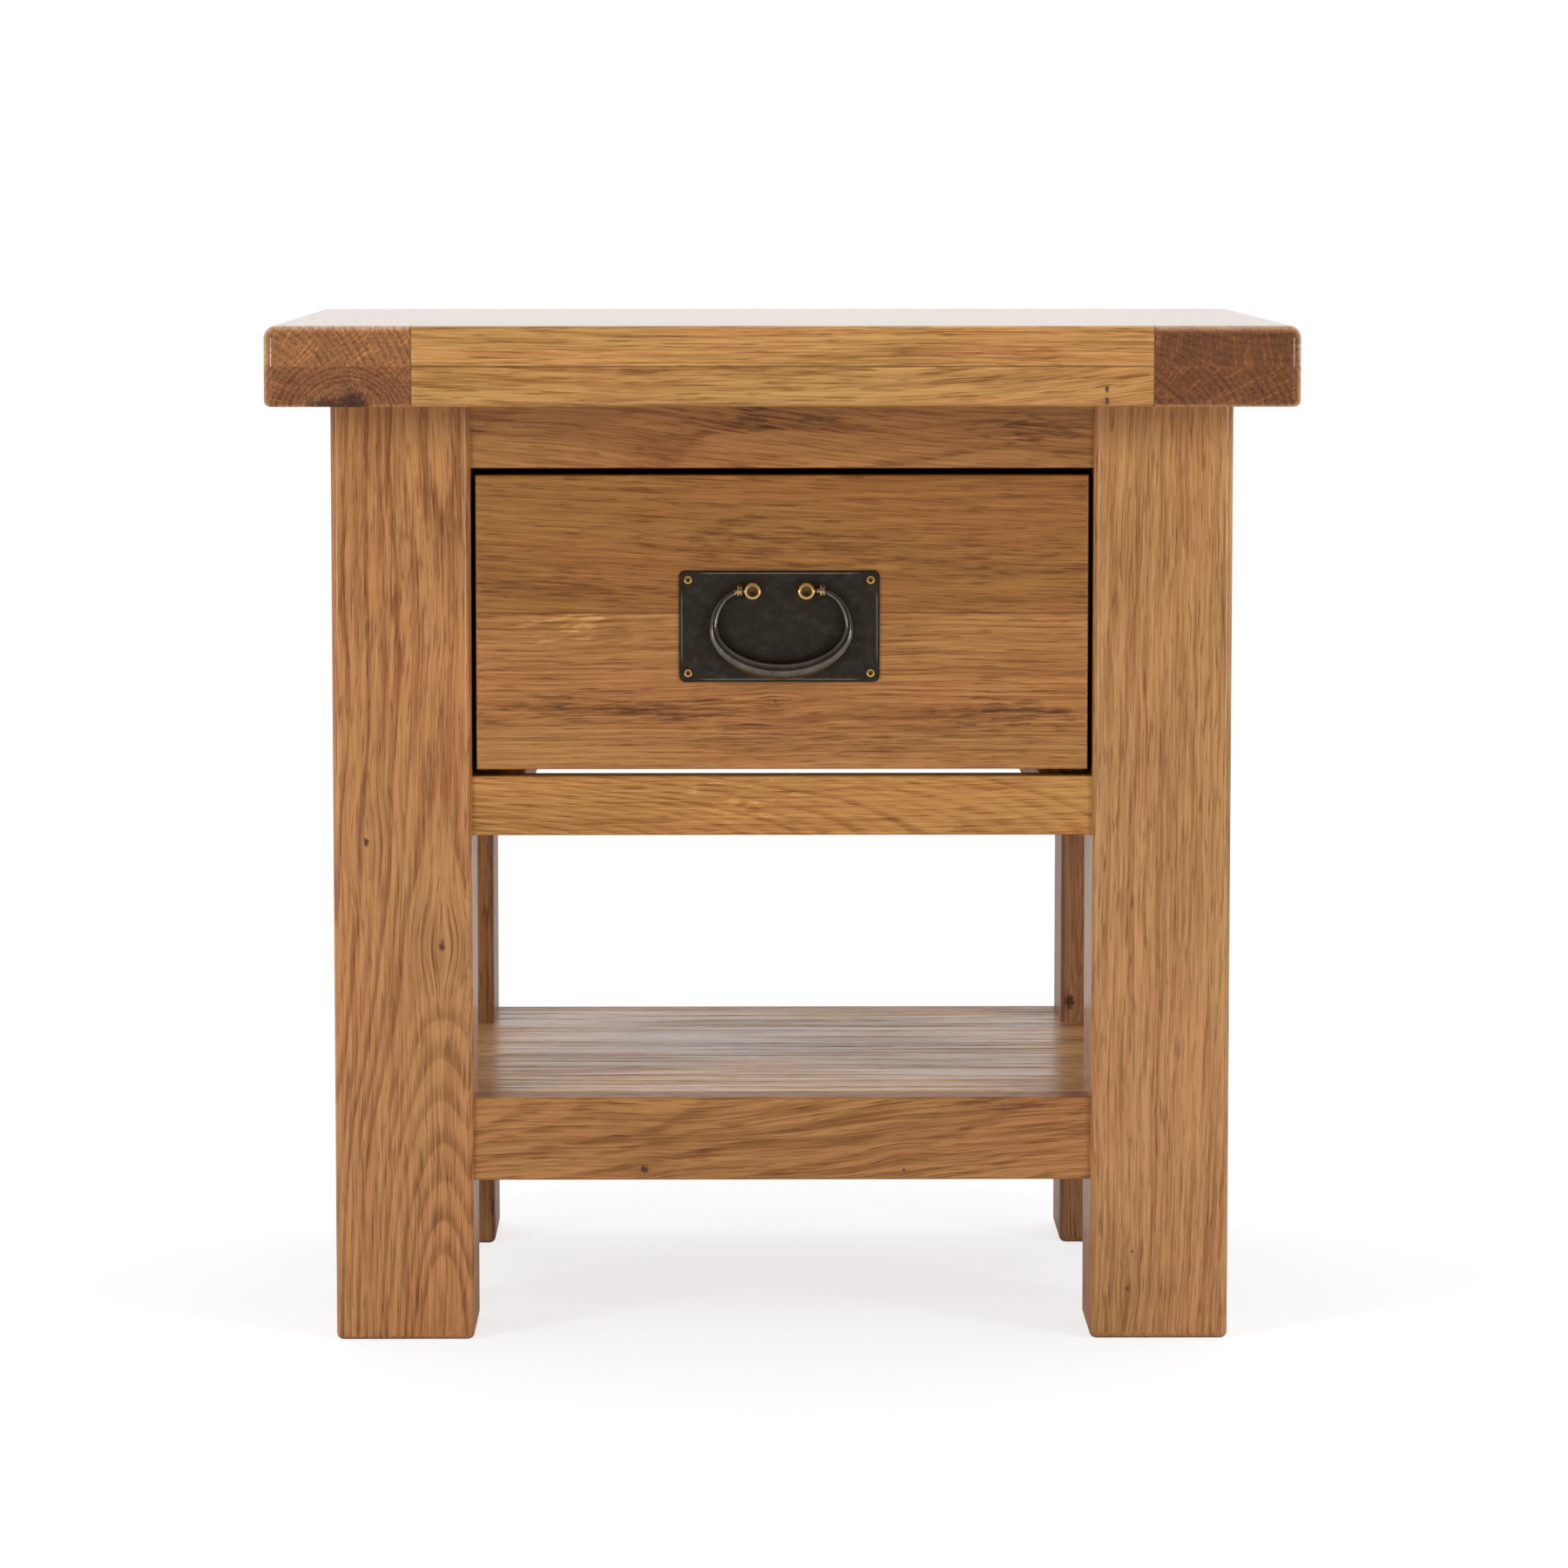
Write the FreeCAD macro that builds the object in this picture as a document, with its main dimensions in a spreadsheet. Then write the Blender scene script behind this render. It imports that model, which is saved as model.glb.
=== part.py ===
import FreeCAD, Part
import math
import os
import re
import Sketcher

# Oak side table with one drawer and a low shelf.
# The origin is on the floor under the middle of the top: X to the right, Y to the back, Z up.
# The drawer opens towards -Y. Left is -X.

# Driving dimensions, millimetres. Each one is a cell of the sheet.
DIMS = {
    # the whole table
    "top_width": 500, "top_depth": 400, "table_height": 500,
    # the top: an upper layer of staves on a lower frame of strips
    "layer_thick": 19.5, "overhang": 30, "end_board": 71, "stave_count": 5,
    "end_round": 6, "front_round": 2.5, "under_round": 3, "corner_round": 5,
    # a chipped-out knot in the front end of the left under-strip, low down: a deep part and a tail
    "knot_x": 206.5, "knot_z": 463.2, "knot_wide": 6, "knot_tall": 4.2, "knot_deep": 3.5,
    "tail_x": 215.5, "tail_z": 461.8, "tail_wide": 8, "tail_tall": 2.4, "tail_deep": 2,
    # legs and rails
    "leg_side": 68, "leg_round": 4, "foot_round": 3, "setback": 4, "arris": 1.2,
    "rail_thick": 20, "low_rail_thick": 18,
    "top_rail_low": 430, "low_rail_low": 250, "low_rail_high": 279, "rear_panel_low": 256,
    "tenon_long": 25, "tenon_thick": 9, "shoulder": 5, "panel_tenon": 60,
    # the shelf
    "shelf_high": 120, "shelf_thick": 18, "shelf_rail_low": 79, "shelf_boards": 4, "cleat_side": 18,
    # what the drawer runs in
    "runner_in": 127, "runner_thick": 18, "guide_in": 151, "guide_high": 297, "kicker_low": 430,
    "stop_in": 137, "stop_out": 150, "stop_thick": 11.8, "stop_high": 299,
    # the drawer
    "front_half": 149.8, "front_low": 282.5, "front_joint": 359.2, "front_high": 426.5,
    "front_thick": 20, "side_thick": 12, "side_low": 279.2, "side_high": 424, "side_back": 134,
    "back_front": 116, "back_high": 414, "housing": 4,
    "base_low": 289.5, "base_thick": 6, "base_play": 0.2, "groove": 5, "front_groove": 6,
    "tail_long": 12, "tail_base": 15, "tail_tip": 19, "tail_pitch": 36,
    # the handle
    "handle_x": -1.4, "plate_wide": 98, "plate_tall": 54.5, "plate_thick": 1.5, "plate_mid": 352.8,
    "plate_corner": 3, "plate_bevel": 0.7, "pin_x": 44.6, "pin_z": 22.8,
    "post_x": 13.1, "post_z": 370.5, "post_radius": 4.2, "post_long": 8.8, "post_shank": 2.5,
    "post_foot": 3.7, "post_waist": 3.3, "waist_out": 1, "post_shoulder": 1.8, "post_rim": 1,
    "post_dish": 0.7, "post_tail": 1.5,
    "pivot_out": 4.8, "pivot_pin": 1.2, "pivot_bore": 1.25, "pivot_deep": 5.6,
    "pin_play": 0.4, "pin_root": 0.8, "spool_radius": 1.9,
    "bail_play": 0.9, "bail_half": 33, "bail_neck": 18, "bail_drop": 39, "bail_waist": 18,
    "bail_end_radius": 1.05, "bail_side_radius": 2.55, "bail_low_radius": 4.35,
    "collar_radius": 3.5, "collar_wide": 1.15, "collar_gap": 0.45, "collar_in": 18.8,
    # fasteners
    "screw_shank": 2, "screw_head": 4, "screw_long": 26, "screw_play": 0.1,
    "screw_point": 3, "screw_room": 1, "head_rim": 0.6, "head_room": 3, "slot_half": 0.5, "slot_deep": 0.7,
    "small_shank": 1.5, "small_head": 3, "small_long": 16,
    "stud_shank": 1, "stud_head": 2.3, "stud_dome": 1.4, "stud_long": 10,
    "washer_radius": 5, "washer_thick": 1, "nut_radius": 4.6, "nut_thick": 4,
    "fix_x": 188, "fix_y": 70, "fix_head_z": 446, "cleat_screw": 90, "base_screw": 60,
}

# Places worked out from the driving dimensions.
PLACES = {
    "leg_high": "table_height - 2*layer_thick",
    "frame_x": "top_width/2 - overhang",
    "frame_y": "top_depth/2 - overhang",
    "inner_x": "frame_x - leg_side",
    "inner_y": "frame_y - leg_side",
    "leg_mid_x": "frame_x - leg_side/2",
    "leg_mid_y": "frame_y - leg_side/2",
    "rail_out": "frame_y - setback",
    "rail_in": "rail_out - rail_thick",
    "panel_out": "frame_x - setback",
    "panel_in": "panel_out - rail_thick",
    "joint_x": "top_width/2 - end_board",
    "joint_y": "top_depth/2 - end_board",
    "stave_deep": "top_depth/stave_count",
    "shelf_low": "shelf_high - shelf_thick",
    "board_deep": "2*rail_in/shelf_boards",
    "cleat_low": "shelf_low - cleat_side",
    "runner_low": "low_rail_high - runner_thick",
    "runner_front": "rail_out - low_rail_thick",
    "front_back": "rail_out - front_thick",
    "side_in": "front_half - side_thick",
    "base_half": "side_in + groove - base_play",
    "groove_front": "front_back + front_groove",
    "plate_face": "rail_out + plate_thick",
    "pivot_y": "plate_face + pivot_out",
}

# Rails and panels that are tenoned into the legs: low and high edge, thickness,
# and the low and high ends of each tenon, all up from the floor.
ACROSS = {
    "drawer_top_rail": ("top_rail_low", "leg_high", "rail_thick",
                        [("top_rail_low + shoulder", "leg_high - shoulder")]),
    "drawer_low_rail": ("low_rail_low", "low_rail_high", "low_rail_thick",
                        [("low_rail_low + shoulder", "low_rail_high - shoulder")]),
    "shelf_rail_front": ("shelf_rail_low", "shelf_high", "rail_thick",
                         [("shelf_rail_low + shoulder", "shelf_high - shoulder")]),
    "rear_panel": ("rear_panel_low", "leg_high", "rail_thick",
                   [("rear_panel_low + shoulder", "rear_panel_low + shoulder + panel_tenon"),
                    ("leg_high - shoulder - panel_tenon", "leg_high - shoulder")]),
    "shelf_rail_rear": ("shelf_rail_low", "shelf_high", "rail_thick",
                        [("shelf_rail_low + shoulder", "shelf_high - shoulder")]),
}
ALONG = {
    "side_panel": ("low_rail_low", "leg_high", "rail_thick",
                   [("low_rail_low + shoulder", "low_rail_low + shoulder + panel_tenon"),
                    ("leg_high - shoulder - panel_tenon", "leg_high - shoulder")]),
    "shelf_rail": ("shelf_rail_low", "shelf_high", "rail_thick",
                   [("shelf_rail_low + shoulder", "shelf_high - shoulder")]),
}
FRONT_RAILS = ("drawer_top_rail", "drawer_low_rail", "shelf_rail_front")
REAR_RAILS = ("rear_panel", "shelf_rail_rear")
SIDES = {"left": -1, "right": 1}
NEAR = {"X": ("XMin", "XMax"), "Y": ("YMin", "YMax"), "Z": ("ZMin", "ZMax")}
FACES = {"left": ("X", 0), "right": ("X", 1), "front": ("Y", 0), "back": ("Y", 1),
         "bottom": ("Z", 0), "top": ("Z", 1)}

NECK_SHARE = 0.38   # share of half the bail that its short upper curve takes
BAIL_SECTIONS = 33  # rings that the bail is lofted through
BAIL_STEP = 0.002   # how far each way along the bail its direction is taken
COLLAR_SOFTEN = 0.4 # rounding of a collar ring, as a share of its width
TAIL_COUNT = 4      # dovetails up each drawer side

doc = FreeCAD.newDocument("side_table")
nodes = []
corner = {}


# ---------------------------------------------------------------- the sheet and its expressions

def make_sheet():
    sheet = doc.addObject("Spreadsheet::Sheet", "Dims")
    for row, (name, value) in enumerate(DIMS.items(), start=1):
        sheet.set(f"A{row}", name)
        sheet.set(f"B{row}", str(value))
        sheet.setAlias(f"B{row}", name)
    doc.recompute()
    return sheet


def bound(text):
    """An expression on the sheet: places are written out and cells get the sheet's name."""
    def word(match):
        name = match.group()
        if name in PLACES:
            return "(" + bound(PLACES[name]) + ")"
        return "Dims." + name if name in DIMS else name
    return re.sub(r"[a-z][a-z0-9_]*", word, str(text))


def value(text):
    """The number that an expression has now."""
    return float(sheet.evalExpression(bound(text)))


def centred(half):
    return f"-({half})", f"2*({half})"


def between(low, high):
    return low, f"({high}) - ({low})"


def outward(side, near, far):
    """A stretch from near to far, measured out from the middle on one side."""
    return (near if side > 0 else f"-({far})"), f"({far}) - ({near})"


# ---------------------------------------------------------------- bodies and features

def new_body(label, x, y, z):
    """An empty body whose own origin is at (x, y, z)."""
    body = doc.addObject("PartDesign::Body", label)
    body.Label = label
    for axis, place in zip("xyz", (x, y, z)):
        body.setExpression(f"Placement.Base.{axis}", bound(place))
    corner[label] = (x, y, z)
    return body


def plane(body, role):
    return next(item for item in body.Origin.OriginFeatures if item.Role == role)


def outline(body, name, role, points, off=0):
    """A closed sketch of straight lines on an origin plane, each corner bound to the sheet."""
    sketch = body.newObject("Sketcher::SketchObject", name)
    sketch.AttachmentSupport = [(plane(body, role), "")]
    sketch.MapMode = "FlatFace"
    sketch.setExpression("AttachmentOffset.Base.z", bound(off))
    spots = [FreeCAD.Vector(value(u), value(v), 0) for u, v in points]
    for index, spot in enumerate(spots):
        sketch.addGeometry(Part.LineSegment(spot, spots[(index + 1) % len(spots)]), False)
    for index in range(len(spots)):
        after = (index + 1) % len(spots)
        sketch.addConstraint(Sketcher.Constraint("Coincident", index, 2, after, 1))
    for index, (spot, words) in enumerate(zip(spots, points)):
        for kind, number, word in zip(("DistanceX", "DistanceY"), (spot.x, spot.y), words):
            made = sketch.addConstraint(Sketcher.Constraint(kind, -1, 1, index, 1, number))
            sketch.setExpression(f"Constraints[{made}]", bound(word))
    return sketch


def pad(body, sketch, length):
    feature = body.newObject("PartDesign::Pad", "Pad")
    feature.Profile = sketch
    feature.setExpression("Length", bound(length))
    doc.recompute()
    return feature


def board(label, x, y, z):
    """A squared board. Each direction is its low end and its length."""
    body = new_body(label, x[0], y[0], z[0])
    sketch = outline(body, "Face", "XY_Plane", [(0, 0), (x[1], 0), (x[1], y[1]), (0, y[1])])
    pad(body, sketch, z[1])
    nodes.append(body)
    return body


def block(body, name, x, y, z, cut=True):
    """Cuts or adds a squared block, given by low end and length in the table's own axes."""
    kind = "PartDesign::SubtractiveBox" if cut else "PartDesign::AdditiveBox"
    feature = body.newObject(kind, name)
    feature.AttachmentSupport = [(plane(body, "XY_Plane"), "")]
    feature.MapMode = "FlatFace"
    for size, axis, stretch, origin in zip(("Length", "Width", "Height"), "xyz", (x, y, z),
                                           corner[body.Label]):
        feature.setExpression(size, bound(stretch[1]))
        feature.setExpression(f"AttachmentOffset.Base.{axis}", bound(f"({stretch[0]}) - ({origin})"))
    return feature


def bore(body, name, way, radius, start, depth):
    """Cuts a round hole along X, Y or Z from a start point in the table's own axes."""
    turn = {"X": FreeCAD.Rotation(FreeCAD.Vector(0, 1, 0), 90),
            "Y": FreeCAD.Rotation(FreeCAD.Vector(1, 0, 0), -90),
            "Z": FreeCAD.Rotation()}[way]
    feature = body.newObject("PartDesign::SubtractiveCylinder", name)
    feature.AttachmentSupport = [(plane(body, "XY_Plane"), "")]
    feature.MapMode = "FlatFace"
    feature.AttachmentOffset = FreeCAD.Placement(FreeCAD.Vector(), turn)
    for axis, place, origin in zip("xyz", start, corner[body.Label]):
        feature.setExpression(f"AttachmentOffset.Base.{axis}", bound(f"({place}) - ({origin})"))
    feature.setExpression("Radius", bound(radius))
    feature.setExpression("Height", bound(depth))
    return feature


def scoop(body, name, centre, wide, deep, tall):
    """Cuts an egg-shaped hollow about a centre in the table's own axes."""
    feature = body.newObject("PartDesign::SubtractiveEllipsoid", name)
    feature.AttachmentSupport = [(plane(body, "XY_Plane"), "")]
    feature.MapMode = "FlatFace"
    for axis, place, origin in zip("xyz", centre, corner[body.Label]):
        feature.setExpression(f"AttachmentOffset.Base.{axis}", bound(f"({place}) - ({origin})"))
    for size, radius in (("Radius1", tall), ("Radius2", wide), ("Radius3", deep)):
        feature.setExpression(size, bound(radius))
    return feature


def lies_on(box, whole, side):
    axis, end = FACES[side]
    low, high = NEAR[axis]
    level = getattr(whole, NEAR[axis][end])
    return abs(getattr(box, low) - level) < 0.01 and abs(getattr(box, high) - level) < 0.01


def edges_on(body, on, off=()):
    """Edges of the body that lie on every side in on and on no side in off."""
    doc.recompute()
    whole = body.Tip.Shape.BoundBox
    names = []
    for number, edge in enumerate(body.Tip.Shape.Edges, start=1):
        box = edge.BoundBox
        if all(lies_on(box, whole, side) for side in on) and not any(lies_on(box, whole, s) for s in off):
            names.append(f"Edge{number}")
    return names


def rounded(body, radius, *picks):
    """Rounds the edges picked by pairs of (sides it lies on, sides it must not lie on)."""
    names = []
    for on, off in picks:
        names += [name for name in edges_on(body, on, off) if name not in names]
    base = body.Tip
    feature = body.newObject("PartDesign::Fillet", "Round")
    feature.Base = (base, names)
    feature.setExpression("Radius", bound(radius))
    doc.recompute()
    return feature


# ---------------------------------------------------------------- the top

def make_top():
    low = "leg_high + layer_thick"
    upper = (low, "layer_thick")
    lower = ("leg_high", "layer_thick")
    whole_depth = centred("top_depth/2")
    count = DIMS["stave_count"]
    for number in range(count):
        y = (f"{number}*stave_deep - top_depth/2", "stave_deep")
        stave = board(f"top_stave_{number + 1}", centred("joint_x"), y, upper)
        if number == 0:
            rounded(stave, "front_round", (("top", "front"), ()))
        if number == count - 1:
            rounded(stave, "front_round", (("top", "back"), ()))
    for name, sign in SIDES.items():
        inner = "left" if sign > 0 else "right"
        x = outward(sign, "joint_x", "top_width/2")
        end = board(f"top_end_board_{name}", x, whole_depth, upper)
        rounded(end, "corner_round", ((name, "front"), ()), ((name, "back"), ()))
        rounded(end, "end_round", (("top",), (inner,)))
        strip = board(f"top_under_strip_{name}", x, whole_depth, lower)
        rounded(strip, "corner_round", ((name, "front"), ()), ((name, "back"), ()))
        rounded(strip, "under_round", (("bottom",), (inner,)))
        for number, spot in enumerate(fixing_spots(sign)):
            bore(strip, f"FixHole{number}", "Z", "screw_shank + screw_play",
                 (spot[0], spot[1], "leg_high"), "fix_head_z + screw_long + screw_room - leg_high")
        if name == "left":
            scoop(strip, "Knot", ("-knot_x", "-top_depth/2", "knot_z"), "knot_wide", "knot_deep", "knot_tall")
            scoop(strip, "Tail", ("-tail_x", "-top_depth/2", "tail_z"), "tail_wide", "tail_deep", "tail_tall")
    for name, sign in (("front", -1), ("rear", 1)):
        y = outward(sign, "joint_y", "top_depth/2")
        strip = board(f"top_under_strip_{name}", centred("joint_x"), y, lower)
        rounded(strip, "under_round", (("bottom", "front" if sign < 0 else "back"), ()))


def fixing_spots(sign):
    """Where the screws go up through a kicker into the top."""
    return [(f"{sign}*fix_x", f"{step}*fix_y", "fix_head_z") for step in (-1, 0, 1)]


# ---------------------------------------------------------------- legs, rails and panels

def tenon_line(label):
    """How far out from the middle the centre of a rail's tenon lies."""
    thick = {**ACROSS, **ALONG}[label][2]
    return f"rail_out - {thick}/2" if label in ACROSS else f"panel_out - {thick}/2"


def make_leg(name, side_x, side_y):
    mid_x, mid_y = f"{side_x}*leg_mid_x", f"{side_y}*leg_mid_y"
    leg = new_body(name, mid_x, mid_y, 0)
    half = "leg_side/2"
    square = [(f"-{half}", f"-{half}"), (half, f"-{half}"), (half, half), (f"-{half}", half)]
    pad(leg, outline(leg, "Square", "XY_Plane", square), "leg_high")
    rounded(leg, "leg_round", (("left", "front"), ()), (("right", "front"), ()),
            (("left", "back"), ()), (("right", "back"), ()))
    rounded(leg, "foot_round", (("bottom",), ()))
    for label in FRONT_RAILS if side_y < 0 else REAR_RAILS:
        line = tenon_line(label)
        across = outward(side_y, f"{line} - tenon_thick/2", f"{line} + tenon_thick/2")
        reach = outward(side_x, "inner_x", "inner_x + tenon_long")
        for low, high in ACROSS[label][3]:
            block(leg, "Mortise", reach, across, between(low, high))
    for label in ALONG:
        line = tenon_line(label)
        across = outward(side_x, f"{line} - tenon_thick/2", f"{line} + tenon_thick/2")
        reach = outward(side_y, "inner_y", "inner_y + tenon_long")
        for low, high in ALONG[label][3]:
            block(leg, "Mortise", across, reach, between(low, high))
    nodes.append(leg)


def make_rail_across(label, side_y):
    low, high, thick, tenons = ACROSS[label]
    line = tenon_line(label)
    y = outward(side_y, f"rail_out - {thick}", "rail_out")
    rail = board(label, centred("inner_x"), y, between(low, high))
    face = "front" if side_y < 0 else "back"
    rounded(rail, "arris", (("bottom", face), ()), (("top", face), ()))
    tongue = outward(side_y, f"{line} - tenon_thick/2", f"{line} + tenon_thick/2")
    for tenon_low, tenon_high in tenons:
        block(rail, "Tenon", centred("inner_x + tenon_long"), tongue,
              between(tenon_low, tenon_high), cut=False)


def make_rail_along(label, name, side_x):
    low, high, thick, tenons = ALONG[label]
    line = tenon_line(label)
    x = outward(side_x, f"panel_out - {thick}", "panel_out")
    rail = board(f"{label}_{name}", x, centred("inner_y"), between(low, high))
    rounded(rail, "arris", (("bottom", name), ()), (("top", name), ()))
    tongue = outward(side_x, f"{line} - tenon_thick/2", f"{line} + tenon_thick/2")
    for tenon_low, tenon_high in tenons:
        block(rail, "Tenon", tongue, centred("inner_y + tenon_long"),
              between(tenon_low, tenon_high), cut=False)


def make_frame():
    for side_name, side_x in SIDES.items():
        make_leg(f"leg_front_{side_name}", side_x, -1)
        make_leg(f"leg_rear_{side_name}", side_x, 1)
        for label in ALONG:
            make_rail_along(label, side_name, side_x)
    for label in FRONT_RAILS:
        make_rail_across(label, -1)
    for label in REAR_RAILS:
        make_rail_across(label, 1)


# ---------------------------------------------------------------- the shelf

def notched_points(side_y, wide, narrow, notch, start):
    """Corners of a board that reaches past the legs on one side of the table only."""
    points = [(f"-({narrow})", "rail_in"), (narrow, "rail_in"), (narrow, notch), (wide, notch),
              (wide, start), (f"-({wide})", start), (f"-({wide})", notch), (f"-({narrow})", notch)]
    return [(u, f"{side_y}*({v})") for u, v in points]


def make_shelf():
    shelf_z = between("shelf_low", "shelf_high")
    for number, side_y in ((1, -1), (4, 1)):
        label = f"shelf_board_{number}"
        edge = new_body(label, 0, 0, "shelf_low")
        points = notched_points(side_y, "panel_in", "inner_x", "inner_y", "rail_in - board_deep")
        pad(edge, outline(edge, "Face", "XY_Plane", points), "shelf_thick")
        nodes.append(edge)
        for side in (-1, 1):
            bore(edge, "ScrewHole", "Z", "screw_shank + screw_play",
                 (f"{side}*cleat_screw", f"{side_y}*(rail_in - cleat_side/2)", "shelf_low"),
                 "cleat_low + screw_long + screw_room - shelf_low")
    for number, side_y in ((2, -1), (3, 1)):
        y = outward(side_y, "0", "board_deep")
        middle = board(f"shelf_board_{number}", centred("panel_in"), y, shelf_z)
        for side in (-1, 1):
            bore(middle, "ScrewHole", "Z", "screw_shank + screw_play",
                 (f"{side}*(panel_in - cleat_side/2)", f"{side_y}*board_deep/2", "shelf_low"),
                 "cleat_low + screw_long + screw_room - shelf_low")
    make_cleats()


def make_cleats():
    z = between("cleat_low", "shelf_low")
    for name, side in (("front", -1), ("rear", 1)):
        cleat = board(f"shelf_cleat_{name}", centred("inner_x"),
                      outward(side, "rail_in - cleat_side", "rail_in"), z)
        for way in (-1, 1):
            screw_hole(cleat, (f"{way}*cleat_screw", f"{side}*(rail_in - cleat_side/2)", "cleat_low"))
    for name, side in SIDES.items():
        cleat = board(f"shelf_cleat_{name}", outward(side, "panel_in - cleat_side", "panel_in"),
                      centred("inner_y"), z)
        for way in (-1, 1):
            screw_hole(cleat, (f"{side}*(panel_in - cleat_side/2)", f"{way}*board_deep/2", "cleat_low"))


def screw_hole(body, spot):
    """A hole through a cleat, with room for the screw's head at its mouth."""
    bore(body, "ScrewHole", "Z", "screw_shank + screw_play", spot, "cleat_side")
    bore(body, "HeadHole", "Z", "screw_head + screw_play", spot, "head_room")


def cleat_spots():
    spots = []
    for side in (-1, 1):
        for way in (-1, 1):
            spots.append((f"{way}*cleat_screw", f"{side}*(rail_in - cleat_side/2)", "cleat_low"))
            spots.append((f"{side}*(panel_in - cleat_side/2)", f"{way}*board_deep/2", "cleat_low"))
    return spots


# ---------------------------------------------------------------- what the drawer runs in

def between_legs_points(side, front):
    """Corners of a board against a side panel that reaches in past the two legs."""
    points = [("runner_in", f"-({front})"), ("inner_x", f"-({front})"), ("inner_x", "-inner_y"),
              ("panel_in", "-inner_y"), ("panel_in", "inner_y"), ("inner_x", "inner_y"),
              ("inner_x", "rail_in"), ("runner_in", "rail_in")]
    return [(f"{side}*({u})", v) for u, v in points]


def make_drawer_guides():
    for name, side in SIDES.items():
        runner = new_body(f"drawer_runner_{name}", 0, 0, "runner_low")
        points = between_legs_points(side, "runner_front")
        pad(runner, outline(runner, "Plan", "XY_Plane", points), "runner_thick")
        nodes.append(runner)
        board(f"drawer_guide_{name}", outward(side, "guide_in", "panel_in"),
              centred("inner_y"), between("low_rail_high", "guide_high"))
        kicker = new_body(f"drawer_kicker_{name}", 0, 0, "kicker_low")
        points = between_legs_points(side, "rail_in")
        pad(kicker, outline(kicker, "Plan", "XY_Plane", points), "leg_high - kicker_low")
        nodes.append(kicker)
        for spot in fixing_spots(side):
            low = (spot[0], spot[1], "kicker_low")
            bore(kicker, "FixHole", "Z", "screw_shank + screw_play", low, "leg_high - kicker_low")
            bore(kicker, "HeadHole", "Z", "screw_head + screw_play", low,
                 "fix_head_z + head_room - kicker_low")
        board(f"drawer_stop_{name}", outward(side, "stop_in", "stop_out"),
              between("rail_in - stop_thick", "rail_in"), between("low_rail_high", "stop_high"))


# ---------------------------------------------------------------- the drawer

def tail_middles():
    """Heights of the dovetails up a drawer side."""
    return [f"front_low + {number + 0.5}*tail_pitch" for number in range(TAIL_COUNT)]


def tail_corners(middle):
    """The four corners of one dovetail, lowest shoulder first: (distance forward, height)."""
    return [("0", f"{middle} - tail_base/2"), ("tail_long", f"{middle} - tail_tip/2"),
            ("tail_long", f"{middle} + tail_tip/2"), ("0", f"{middle} + tail_base/2")]


def make_drawer_front():
    staves = (("drawer_front_low", "front_low", "front_joint", (0, 1), "bottom"),
              ("drawer_front_high", "front_joint", "front_high", (2, 3), "top"))
    for label, low, high, tails, outer in staves:
        front = board(label, centred("front_half"), between("-rail_out", "-front_back"),
                      between(low, high))
        rounded(front, "arris", ((outer, "front"), ()), (("left", "front"), ()), (("right", "front"), ()))
        for tail in tails:
            cut_socket(front, tail_middles()[tail], low, "Left", "0", True)
            cut_socket(front, tail_middles()[tail], low, "Right", "2*front_half", False)
        for side in (-1, 1):
            row = "plate_mid - pin_z" if outer == "bottom" else "plate_mid + pin_z"
            bore(front, "StudHole", "Y", "stud_shank + screw_play",
                 (f"handle_x + {side}*pin_x", "-rail_out", row), "stud_long + screw_room")
            if outer == "top":
                bore(front, "PostHole", "Y", "post_shank + screw_play",
                     (f"handle_x + {side}*post_x", "-rail_out", "post_z"), "front_thick")
        if outer == "bottom":
            block(front, "BaseGroove", centred("side_in + groove"),
                  between("-groove_front", "-front_back"), ("base_low", "base_thick"))


def cut_socket(front, middle, low, name, off, backwards):
    """Cuts one dovetail socket into an end of a front stave."""
    points = [(f"front_thick - {forward}", f"({height}) - ({low})")
              for forward, height in tail_corners(middle)]
    before = front.Tip.Shape.Volume
    pocket = front.newObject("PartDesign::Pocket", f"Socket{name}")
    pocket.Profile = outline(front, f"Tail{name}", "YZ_Plane", points, off)
    pocket.setExpression("Length", bound("side_thick"))
    pocket.Reversed = backwards
    doc.recompute()
    if pocket.Shape.Volume > before - 1:
        raise RuntimeError(f"{front.Label}: a dovetail socket cut nothing")


def make_drawer_sides():
    for name, side in SIDES.items():
        x = outward(side, "side_in", "front_half")
        body = new_body(f"drawer_side_{name}", x[0], 0, 0)
        points = [("side_back", "side_low"), ("-front_back", "side_low")]
        for middle in tail_middles():
            points += [(f"-front_back - ({forward})", height) for forward, height in tail_corners(middle)]
        points += [("-front_back", "side_high"), ("side_back", "side_high")]
        pad(body, outline(body, "Tails", "YZ_Plane", points), "side_thick")
        block(body, "BaseGroove", outward(side, "side_in", "side_in + groove"),
              between("-groove_front", "side_back"), ("base_low", "base_thick"))
        block(body, "BackHousing", outward(side, "side_in", "side_in + housing"),
              ("back_front", "side_thick"), between("base_low + base_thick", "back_high"))
        nodes.append(body)


def base_screw_spots():
    return [(f"{side}*base_screw", "back_front + side_thick/2", "base_low") for side in (-1, 1)]


def make_drawer_box():
    back = board("drawer_back", centred("side_in + housing"), ("back_front", "side_thick"),
                 between("base_low + base_thick", "back_high"))
    base = board("drawer_base", centred("base_half"), between("-groove_front", "back_front + side_thick"),
                 ("base_low", "base_thick"))
    for x, y, z in base_screw_spots():
        bore(back, "ScrewHole", "Z", "small_shank + screw_play", (x, y, "base_low + base_thick"),
             "small_long - base_thick + screw_room")
        bore(base, "ScrewHole", "Z", "small_shank + screw_play", (x, y, z), "base_thick")
        bore(base, "HeadHole", "Z", "small_head + screw_play", (x, y, z),
             "small_head - small_shank + head_rim")


# ---------------------------------------------------------------- the handle

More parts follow.
